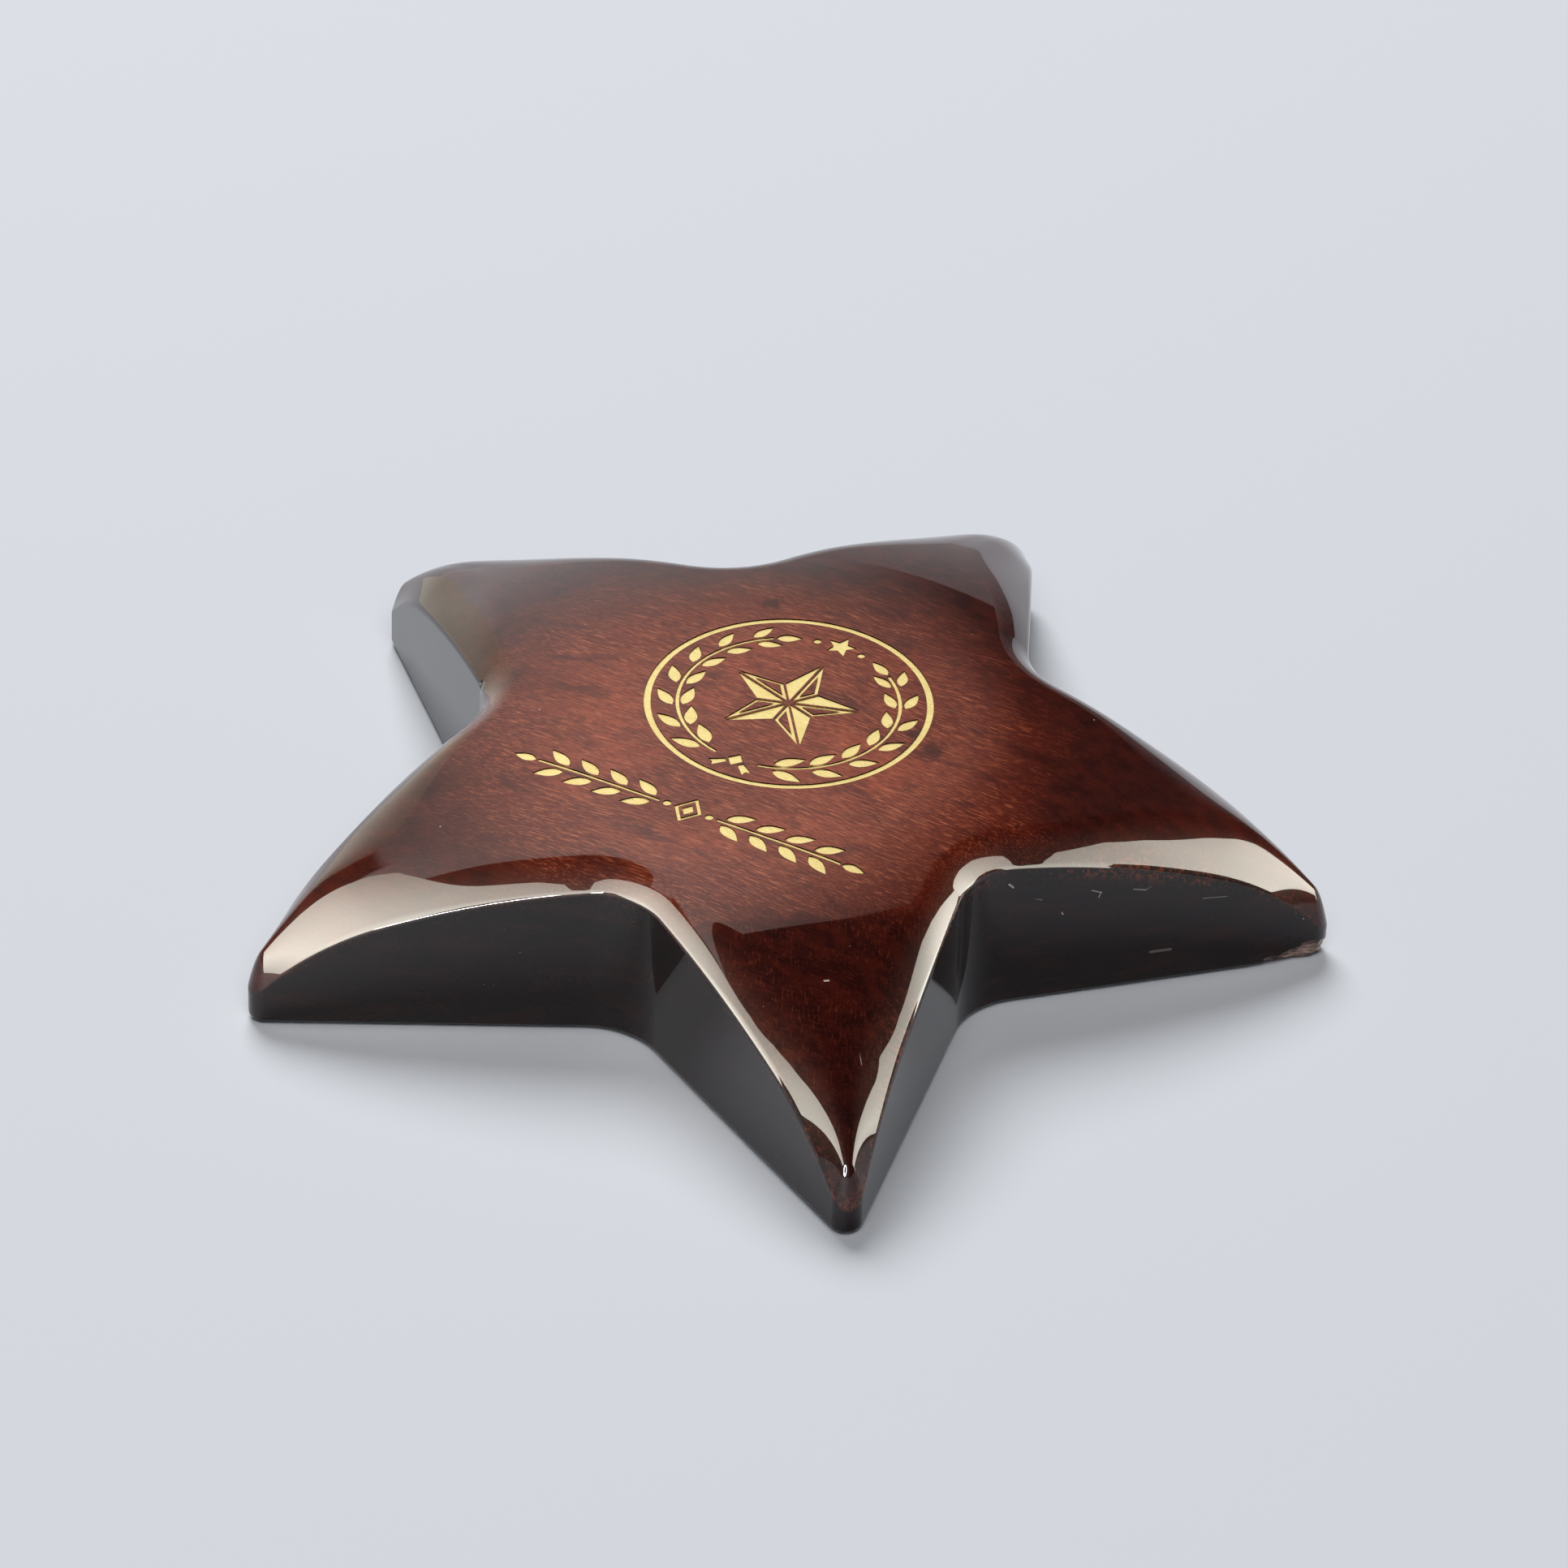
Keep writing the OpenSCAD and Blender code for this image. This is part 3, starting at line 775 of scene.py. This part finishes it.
light = T.mix(T.math("MULTIPLY", streak, 0.72), light, (0.40, 0.118, 0.055, 1))
light = T.mix(T.math("MULTIPLY", T.ramp(fib2, 0.37, 0.54, 1.0, 0.0), 0.72), light, (0.050, 0.009, 0.005, 1))
# smoky clouds in the stain
smoke = T.noise(T.stretch(0.13, 0.24, 0.2, (8, 3, 5)), 1.0, 4.0, 0.62, 0.5)
light = T.mix(T.ramp(smoke, 0.52, 0.70, 0.0, 0.62), light, (0.040, 0.010, 0.007, 1))
light = T.mix(T.math("MULTIPLY", T.ramp(pore, 0.66, 0.74), 0.5), light, (0.40, 0.145, 0.07, 1))
dark = T.mix(T.ramp(blot2, 0.35, 0.7), (0.018, 0.0030, 0.0020, 1), (0.034, 0.0056, 0.0032, 1))
dark = T.mix(T.math("MULTIPLY", streak, 0.35), dark, (0.085, 0.017, 0.008, 1))
col = T.mix(burst, light, dark)
# end-grain specks where the arms slope down
su = T.nt.nodes.new("ShaderNodeCombineXYZ")
T.plug(su.inputs[0], T.math("MULTIPLY", T.vec("DOT_PRODUCT", T.mm, (0.45, -0.89, -0.3)), 0.75))
T.plug(su.inputs[1], T.math("MULTIPLY", T.vec("DOT_PRODUCT", T.mm, (0.89, 0.45, 0.0)), 3.4))
spk = T.noise(su.outputs[0], 1.0, 3.0, 0.66)
spkm = T.math("MULTIPLY", T.ramp(spk, 0.52, 0.68), T.ramp(blot, 0.38, 0.58))
slope = T.ramp(T.vec("DOT_PRODUCT", T.mm, (0.588, -0.809, 0)), 25.0, 34.0)
col = T.mix(T.math("MULTIPLY", T.math("MULTIPLY", spkm, slope), 0.34), col, (0.15, 0.040, 0.016, 1))
# nearly black walls
wallc = T.mix(T.ramp(T.noise(T.stretch(0.12, 0.12, 0.5, (2, 2, 2)), 1.0, 4.0), 0.4, 0.75), (0.0065, 0.0026, 0.0026, 1), (0.017, 0.0040, 0.0034, 1))
col = T.mix(WALL, col, wallc)
# worn, flecked upper arris
wear = T.noise(T.stretch(1.6, 1.6, 1.6, (7, 1, 3)), 1.0, 4.0, 0.65)
wearm = T.math("MULTIPLY", T.math("MULTIPLY", ARRIS, T.ramp(T.vec("DOT_PRODUCT", T.mm, (1, 0, 0)), 38.0, 22.0, 1.0, 0.25)), T.ramp(T.math("ADD", wear, T.math("MULTIPLY", T.math("SUBTRACT", blot, 0.5), 0.5)), 0.50, 0.66))
col = T.mix(T.math("MULTIPLY", wearm, 0.75), col, (0.17, 0.042, 0.018, 1))
# two dark blotches in the stain and a nick
bn = T.math("MULTIPLY", T.math("SUBTRACT", T.noise(T.stretch(0.9, 0.9, 0.9), 1.0, 3.0), 0.5), 2.6)
for p, r in (((16.9, 6.2, 25.4), 1.3), ((20.2, 4.2, 25.4), 1.6), ((-12.0, 22.0, 25.4), 1.0)):
    d = T.math("ADD", T.vec("DISTANCE", T.mm, p), bn)
    col = T.mix(T.math("MULTIPLY", T.ramp(d, r * 0.4, r * 1.5, 1.0, 0.0), 0.7), col, (0.018, 0.005, 0.004, 1))
nick = T.spot((-37.7, -7.6, 21.5), 0.35, 0.75)
col = T.mix(nick, col, (0.003, 0.002, 0.002, 1))
# burnt pockets
col = T.mix(POCK, col, (0.012, 0.0055, 0.004, 1))
# chip: bare, splintered wood and broken lacquer
cn = T.noise(T.stretch(0.5, 0.5, 3.2, (1, 5, 2)), 1.0, 4.0, 0.7)
chipc = T.mix(T.ramp(cn, 0.42, 0.60), (0.030, 0.009, 0.007, 1), (0.34, 0.19, 0.16, 1))
col = T.mix(CHIPPED, col, chipc)
# specks of dust in and on the lacquer
vd = T.cells(T.stretch(1, 1, 1, (0.3, 0.7, 0.1)), 0.19)
dustm = T.math("MULTIPLY", T.ramp(vd.outputs["Distance"], 0.010, 0.026, 1.0, 0.0), 1.0)
vd2 = T.cells(T.stretch(1, 1, 1, (9.3, 4.7, 2.1)), 0.33)
pick = T.ramp(T.noise(T.stretch(0.04, 0.04, 0.04, (3, 3, 3)), 1.0, 1.0), 0.48, 0.56)
dust2 = T.math("MULTIPLY", T.ramp(vd2.outputs["Distance"], 0.012, 0.03, 1.0, 0.0), pick)
dust = T.math("MAXIMUM", T.math("MULTIPLY", dustm, 0.8), T.math("MULTIPLY", dust2, 0.5))
col = T.mix(dust, col, (0.42, 0.38, 0.35, 1))
# a few hair-fine scratches and short lint marks
def mark(a, b, half):
    a, b = Vector(a), Vector(b)
    d = b - a
    v = T.vec("SUBTRACT", T.mm, tuple(a))
    t = T.math("DIVIDE", T.vec("DOT_PRODUCT", v, tuple(d)), d.length_squared, clamp=True)
    n = T.nt.nodes.new("ShaderNodeVectorMath")
    n.operation = "SCALE"
    n.inputs[0].default_value = tuple(d)
    T.plug(n.inputs["Scale"], t)
    return T.ramp(T.vec("DISTANCE", v, n.outputs["Vector"]), half * 0.6, half * 1.3, 1.0, 0.0)


MARKS = [
    ((34.3, -43.2, 19.3), (37.7, -47.0, 16.8), 0.07, 0.45), ((37.7, -47.0, 16.8), (39.8, -50.7, 14.2), 0.07, 0.40),
    ((46.5, 24.8, 18.5), (47.0, 23.8, 18.7), 0.10, 0.7), ((49.9, 23.1, 17.8), (51.0, 24.1, 17.2), 0.11, 0.8),
    ((54.0, 24.7, 15.2), (54.6, 24.3, 15.1), 0.09, 0.6), ((37.5, -8.1, 19.0), (37.9, -7.7, 18.4), 0.14, 0.75),
    ((45.3, -0.6, 16.2), (46.2, 0.2, 15.7), 0.09, 0.6), ((46.2, 0.2, 15.7), (46.0, 0.0, 15.0), 0.08, 0.6),
    ((49.2, 3.1, 15.5), (50.4, 4.2, 15.1), 0.10, 0.6), ((50.4, 4.2, 15.1), (50.9, 4.7, 15.5), 0.08, 0.5),
    ((56.0, 9.4, 12.5), (58.3, 11.5, 12.3), 0.06, 0.4), ((51.3, 5.0, 5.2), (53.2, 6.7, 5.2), 0.22, 0.22),
    ((39.8, -5.7, 16.2), (40.6, -5.0, 15.8), 0.08, 0.5), ((42.6, -3.2, 13.4), (42.7, -3.1, 13.1), 0.10, 0.6),
    ((62.9, 15.6, 8.4), (63.5, 16.2, 8.3), 0.07, 0.5), ((28.5, -39.8, 21.8), (28.9, -39.5, 21.8), 0.13, 0.8),
]
for a, b, half, k in MARKS:
    col = T.mix(T.math("MULTIPLY", mark(a, b, half), k), col, (0.42, 0.38, 0.35, 1))
T.nt.links.new(col, T.bsdf.inputs["Base Color"])
rough = T.math("ADD", 0.42, T.math("MULTIPLY", fib, 0.16))
rough = T.math("MAXIMUM", rough, T.math("MULTIPLY", CHIPPED, 0.75))
T.nt.links.new(rough, T.bsdf.inputs["Roughness"])
T.set(Coat_Weight=1.0, Coat_Roughness=0.022, Coat_IOR=1.5, Specular_IOR_Level=0.1)
# lacquer: long shallow waves and a trace of orange peel
wave = T.noise(T.stretch(0.055, 0.055, 0.055, (2, 5, 8)), 1.0, 1.0, 0.4)
peel = T.noise(T.stretch(0.8, 0.8, 0.8), 1.0, 1.0, 0.4)
h = T.math("ADD", T.math("MULTIPLY", wave, 0.10), T.math("MULTIPLY", peel, 0.0006))
h = T.math("SUBTRACT", h, T.math("MULTIPLY", nick, 0.3))
h = T.math("ADD", h, T.math("MULTIPLY", T.math("MULTIPLY", cn, CHIPPED), 0.5))
nrm = T.bump(h, 1.0, 0.001)
T.nt.links.new(nrm, T.bsdf.inputs["Normal"])
T.nt.links.new(nrm, T.bsdf.inputs["Coat Normal"])
body.data.materials.append(T.mat)

# ---- gold deposit ----------------------------------------------------------
T = Tree("gold_fill")
ras = T.math("SINE", T.math("MULTIPLY", T.vec("DOT_PRODUCT", T.mm, (0.035, 1, 0)), 2 * math.pi / 0.21))
ras = T.math("ADD", T.math("MULTIPLY", ras, 0.5), 0.5)
gn = T.noise(T.stretch(1.2, 6.0, 2.0), 1.0, 3.0, 0.6)
gl = T.noise(T.stretch(0.16, 0.16, 0.16, (1, 2, 3)), 1.0, 2.0)
gs = T.math("ADD", T.math("MULTIPLY", ras, 0.45), T.math("MULTIPLY", gn, 0.75))
gc = T.mix(T.ramp(gs, 0.30, 0.85), (0.66, 0.46, 0.135, 1), (1.0, 0.86, 0.40, 1))
gc = T.mix(T.ramp(gl, 0.40, 0.70, 0.0, 0.28), gc, (0.72, 0.50, 0.17, 1))
gp = T.cells(T.stretch(1, 1, 1, (2, 2, 2)), 1.1)
gc = T.mix(T.ramp(gp.outputs["Distance"], 0.05, 0.11, 0.7, 0.0), gc, (0.16, 0.07, 0.02, 1))
T.nt.links.new(gc, T.bsdf.inputs["Base Color"])
T.nt.links.new(T.math("ADD", 0.30, T.math("MULTIPLY", gn, 0.22)), T.bsdf.inputs["Roughness"])
T.set(Metallic=0.45)
T.nt.links.new(T.bump(T.math("ADD", T.math("MULTIPLY", ras, 0.012), T.math("MULTIPLY", gn, 0.02)), 1.0, 0.001), T.bsdf.inputs["Normal"])
for g in gold.values():
    g.data.materials.append(T.mat)

# ---- felt ------------------------------------------------------------------
T = Tree("felt")
f1 = T.noise(T.stretch(1.1, 1.1, 1.1), 1.0, 6.0, 0.7, 1.2)
f2 = T.noise(T.stretch(6.0, 2.0, 4.0, (3, 1, 1)), 1.0, 3.0, 0.6, 2.0)
fc = T.mix(T.ramp(f1, 0.3, 0.7), (0.010, 0.010, 0.012, 1), (0.030, 0.030, 0.034, 1))
fc = T.mix(T.ramp(f2, 0.60, 0.75, 0.0, 0.6), fc, (0.085, 0.085, 0.092, 1))
T.nt.links.new(fc, T.bsdf.inputs["Base Color"])
T.set(Roughness=0.95, Specular_IOR_Level=0.2, Sheen_Weight=0.35, Sheen_Roughness=0.5)
T.nt.links.new(T.bump(T.math("ADD", f1, T.math("MULTIPLY", f2, 0.6)), 1.0, 0.00035), T.bsdf.inputs["Normal"])
felt.data.materials.append(T.mat)

# ---- adhesive film ---------------------------------------------------------
T = Tree("adhesive_film")
a1 = T.noise(T.stretch(0.25, 0.25, 0.25), 1.0, 3.0)
T.nt.links.new(T.mix(T.ramp(a1, 0.35, 0.65), (0.58, 0.52, 0.36, 1), (0.70, 0.65, 0.50, 1)), T.bsdf.inputs["Base Color"])
T.set(Roughness=0.42)
film.data.materials.append(T.mat)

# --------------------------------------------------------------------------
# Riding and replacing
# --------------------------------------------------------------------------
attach(body, "root"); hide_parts("star_body")
for gname, g in gold.items():
    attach(g, "root"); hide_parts(gname)
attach(felt, "root"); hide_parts("felt_pad")
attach(film, "root"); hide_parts("pad_adhesive")

# --------------------------------------------------------------------------
# Stage: pale floor, soft panels, backdrop
# --------------------------------------------------------------------------
scene = bpy.context.scene
L = 4.0
fl = bpy.data.meshes.new("floor")
fl.from_pydata([(-L, -L, 0), (L, -L, 0), (L, L, 0), (-L, L, 0)], [], [(0, 1, 2, 3)])
floor = bpy.data.objects.new("floor", fl)
scene.collection.objects.link(floor)
T = Tree("floor")
T.set(Base_Color=(0.49, 0.507, 0.54, 1), Roughness=0.9, Specular_IOR_Level=0.0)
fl.materials.append(T.mat)


def direction(rel, el):
    """unit vector towards a place on the studio's walls; rel is measured from the camera's side"""
    a, e = math.radians(rel - 63), math.radians(el)
    return np.array([math.cos(a) * math.cos(e), math.sin(a) * math.cos(e), math.sin(e)])


def panel(name, rel0, rel1, low, high, glow, radius=1.1, nu=48, nv=16):
    """a curved light panel; low, high and glow are functions of the direction"""
    vs, cs = [], []
    for i in range(nu + 1):
        rel = rel0 + (rel1 - rel0) * i / nu
        for j in range(nv + 1):
            t = j / nv
            el = low(rel) + (high(rel) - low(rel)) * t
            vs.append(direction(rel, el) * radius)
            cs.append(list(glow(rel, el, t)) + [1.0])
    fs = [(i * (nv + 1) + j, i * (nv + 1) + j + 1, (i + 1) * (nv + 1) + j + 1, (i + 1) * (nv + 1) + j) for i in range(nu) for j in range(nv)]
    return glowing(name, vs, fs, cs)


def glowing(name, vs, fs, cs):
    me = bpy.data.meshes.new(name)
    me.from_pydata([tuple(v) for v in vs], [], fs)
    me.color_attributes.new("glow", "FLOAT_COLOR", "POINT").data.foreach_set("color", np.array(cs, np.float32).ravel())
    m = bpy.data.materials.new(name)
    m.use_nodes = True
    nt = m.node_tree
    nt.nodes.clear()
    o = nt.nodes.new("ShaderNodeOutputMaterial")
    em = nt.nodes.new("ShaderNodeEmission")
    vc = nt.nodes.new("ShaderNodeVertexColor"); vc.layer_name = "glow"
    nt.links.new(vc.outputs["Color"], em.inputs["Color"])
    nt.links.new(em.outputs[0], o.inputs[0])
    me.materials.append(m)
    ob = bpy.data.objects.new(name, me)
    scene.collection.objects.link(ob)
    ob.visible_camera = False
    ob.visible_diffuse = False
    ob.visible_shadow = False
    return ob


def smooth(x, a, b):
    t = min(1.0, max(0.0, (x - a) / (b - a)))
    return t * t * (3 - 2 * t)


def curve(*pts):
    """a function through the given points (x, value)"""
    xs, ys = zip(*pts)
    return lambda x: float(np.interp(x, xs, ys))


def card(name, low, high, level, rel0, rel1, glow, foot=105.0, lean=30.0, nu=96, nv=16):
    """a lit card standing close around the object and leaning over it; low and high are heights in mm"""
    vs, cs = [], []
    k = math.tan(math.radians(lean))
    for i in range(nu + 1):
        rel = rel0 + (rel1 - rel0) * i / nu
        for j in range(nv + 1):
            z = low(rel) + (high(rel) - low(rel)) * j / nv
            d = direction(rel, 0) * (foot - k * z) * MM
            vs.append((d[0], d[1], z * MM))
            g = level(rel) * glow(z)
            cs.append([g * 1.04, g, g * 0.87, 1.0])
    fs = [(i * (nv + 1) + j, i * (nv + 1) + j + 1, (i + 1) * (nv + 1) + j + 1, (i + 1) * (nv + 1) + j) for i in range(nu) for j in range(nv)]
    return glowing(name, vs, fs, cs)


SOFT = curve((0, 7), (7, 9.5), (12, 13.5), (18, 17), (27, 14.6), (37, 12.6), (47, 9.6), (57, 6.6), (64, 5.4))
card("card_left",
     curve((-80, 31), (-77, 24), (-72, 21), (-64, 15), (-56, 9), (-48, 6), (-42, 10), (-36, 22), (-32, 31), (-24, 32), (-18, 23), (-8, 21)),
     curve((-80, 37), (-77, 56), (-73, 60), (-60, 59), (-48, 58), (-32, 57.5), (-26, 55), (-20, 45), (-14, 37), (-8, 31)),
     curve((-80, 0.62), (-66, 0.84), (-50, 1.02), (-40, 0.92), (-26, 0.76), (-8, 0.6)), -80, -8, SOFT)
card("card_right",
     curve((36, 6), (44, 5), (49, 6), (53, 26), (58, 37), (64, 38), (70, 33), (74, 22), (78, 10), (82, 6), (86, 15), (90, 25), (93, 31)),
     curve((36, 24), (42, 30), (47, 37), (51, 47), (56, 52), (64, 53), (72, 54), (80, 51), (86, 46), (90, 40), (93, 34)),
     curve((36, 0.5), (56, 0.66), (72, 0.76), (80, 0.86), (88, 0.8), (93, 0.62)), 36, 93, SOFT)
card("card_back", curve((216, 0), (243, 0)), curve((216, 105), (243, 105)), curve((216, 1.0), (236, 0.95), (243, 0.55)), 216, 243,
     curve((0, 1.05), (60, 0.95), (105, 1.1)), foot=130.0, lean=0.0, nu=24, nv=8)


# a low ceiling of light with a straight front edge, brightest along that edge
def ceiling():
    vs, cs, fs = [], [], []
    nu, nv = 84, 114
    for i in range(nu + 1):
        p = 5.0 * i
        for j in range(nv + 1):
            q = -150.0 + 5.0 * j
            vs.append(((-70 - 0.866 * p + 0.5 * q) * MM, (-36 + 0.5 * p + 0.866 * q) * MM, 0.190))
            far = 1.5 + (0.88 - 1.5) * smooth(p, 25, 175)
            q0 = 105 + 0.75 * p
            g = far * (0.07 + 0.93 * (1 - smooth(q, q0 - 70, q0 + 70)))
            side = -150 + (94 + 0.25 * p) * smooth(p, 55, 80)
            g *= smooth(q, side, side + 12)
            cs.append([g * 1.0, g * 0.99, g * 0.98, 1.0])
    for i in range(nu):
        for j in range(nv):
            a = i * (nv + 1) + j
            fs.append((a, a + 1, a + nv + 2, a + nv + 1))
    glowing("ceiling", vs, fs, cs)


ceiling()


BACK = curve((120, 0.0), (146, 0.02), (155, 0.16), (165, 0.32), (175, 0.58), (185, 0.82), (195, 0.93), (205, 1.0), (216, 1.02))
panel("backdrop", 120, 216, lambda r: -1.0, lambda r: 30.0, lambda rel, el, t: (BACK(rel), BACK(rel), BACK(rel) * 1.02), radius=1.6)


def ring_lamp(rel, el, r_out, r_in, radiance):
    c = direction(rel, el) * 1.0
    z = Vector(-c).normalized()
    q = z.to_track_quat("Z", "Y").to_matrix()
    me = bpy.data.meshes.new("ring_lamp")
    vs, fs = [], []
    for i in range(32):
        a = 2 * math.pi * i / 32
        for r in (r_in, r_out):
            vs.append(tuple(Vector(c) + q @ Vector((math.cos(a) * r, math.sin(a) * r, 0))))
    for i in range(32):
        j = (i + 1) % 32
        fs.append((2 * i, 2 * i + 1, 2 * j + 1, 2 * j))
    me.from_pydata(vs, [], fs)
    m = bpy.data.materials.new("ring_lamp")
    m.use_nodes = True
    nt = m.node_tree
    nt.nodes.clear()
    o = nt.nodes.new("ShaderNodeOutputMaterial")
    em = nt.nodes.new("ShaderNodeEmission")
    em.inputs["Strength"].default_value = radiance
    nt.links.new(em.outputs[0], o.inputs[0])
    me.materials.append(m)
    ob = bpy.data.objects.new("ring_lamp", me)
    scene.collection.objects.link(ob)
    ob.visible_camera = False
    ob.visible_diffuse = False


ring_lamp(-11, 13, 0.20, 0.160, 150)


def area(name, loc, size, energy, color=(1, 1, 1)):
    l = bpy.data.lights.new(name, "AREA")
    l.shape, l.size, l.energy, l.color = "DISK", size, energy, color
    o = bpy.data.objects.new(name, l)
    scene.collection.objects.link(o)
    o.location = loc
    o.rotation_euler = Vector(loc).to_track_quat("Z", "Y").to_euler()
    o.visible_glossy = False
    return o


area("key", (-0.75, 0.75, 1.5), 1.1, 38)
area("fill", (0.5, -0.9, 1.5), 1.2, 20)

world = bpy.data.worlds.new("studio")
scene.world = world
world.use_nodes = True
world.node_tree.nodes["Background"].inputs[0].default_value = (0.9, 0.95, 1.0, 1)
world.node_tree.nodes["Background"].inputs[1].default_value = 0.05

CAM = dict(f=9494.25, az=27.0824, el=36.371, roll=1.9684, dist=13.4499, tx=-0.1088, ty=0.2595)
a, e = math.radians(CAM["az"]), math.radians(CAM["el"])
back = Vector((math.sin(a) * math.cos(e), -math.cos(a) * math.cos(e), math.sin(e)))
pos = Vector((CAM["tx"], CAM["ty"], 0)) + back * CAM["dist"]
right = (-back).cross(Vector((0, 0, 1))).normalized()
up = right.cross(-back)
r = math.radians(CAM["roll"])
r2 = right * math.cos(r) + up * math.sin(r)
u2 = -right * math.sin(r) + up * math.cos(r)
cd = bpy.data.cameras.new("camera")
cam = bpy.data.objects.new("camera", cd)
scene.collection.objects.link(cam)
cd.sensor_width = 36
cd.lens = CAM["f"] / 1932 * 36
cd.clip_start, cd.clip_end = 0.01, 50
mw = Matrix((r2, u2, back)).transposed().to_4x4()
mw.translation = pos * TIP_REACH * MM
cam.matrix_world = mw
scene.camera = cam

scene.view_settings.view_transform = "Standard"
# a short toe, as a print-ready picture has
scene.view_settings.use_curve_mapping = True
tone = scene.view_settings.curve_mapping
for x, y in ((0.012, 0.0045), (0.04, 0.026), (0.10, 0.088), (0.25, 0.25)):
    tone.curves[3].points.new(x, y)
tone.update()
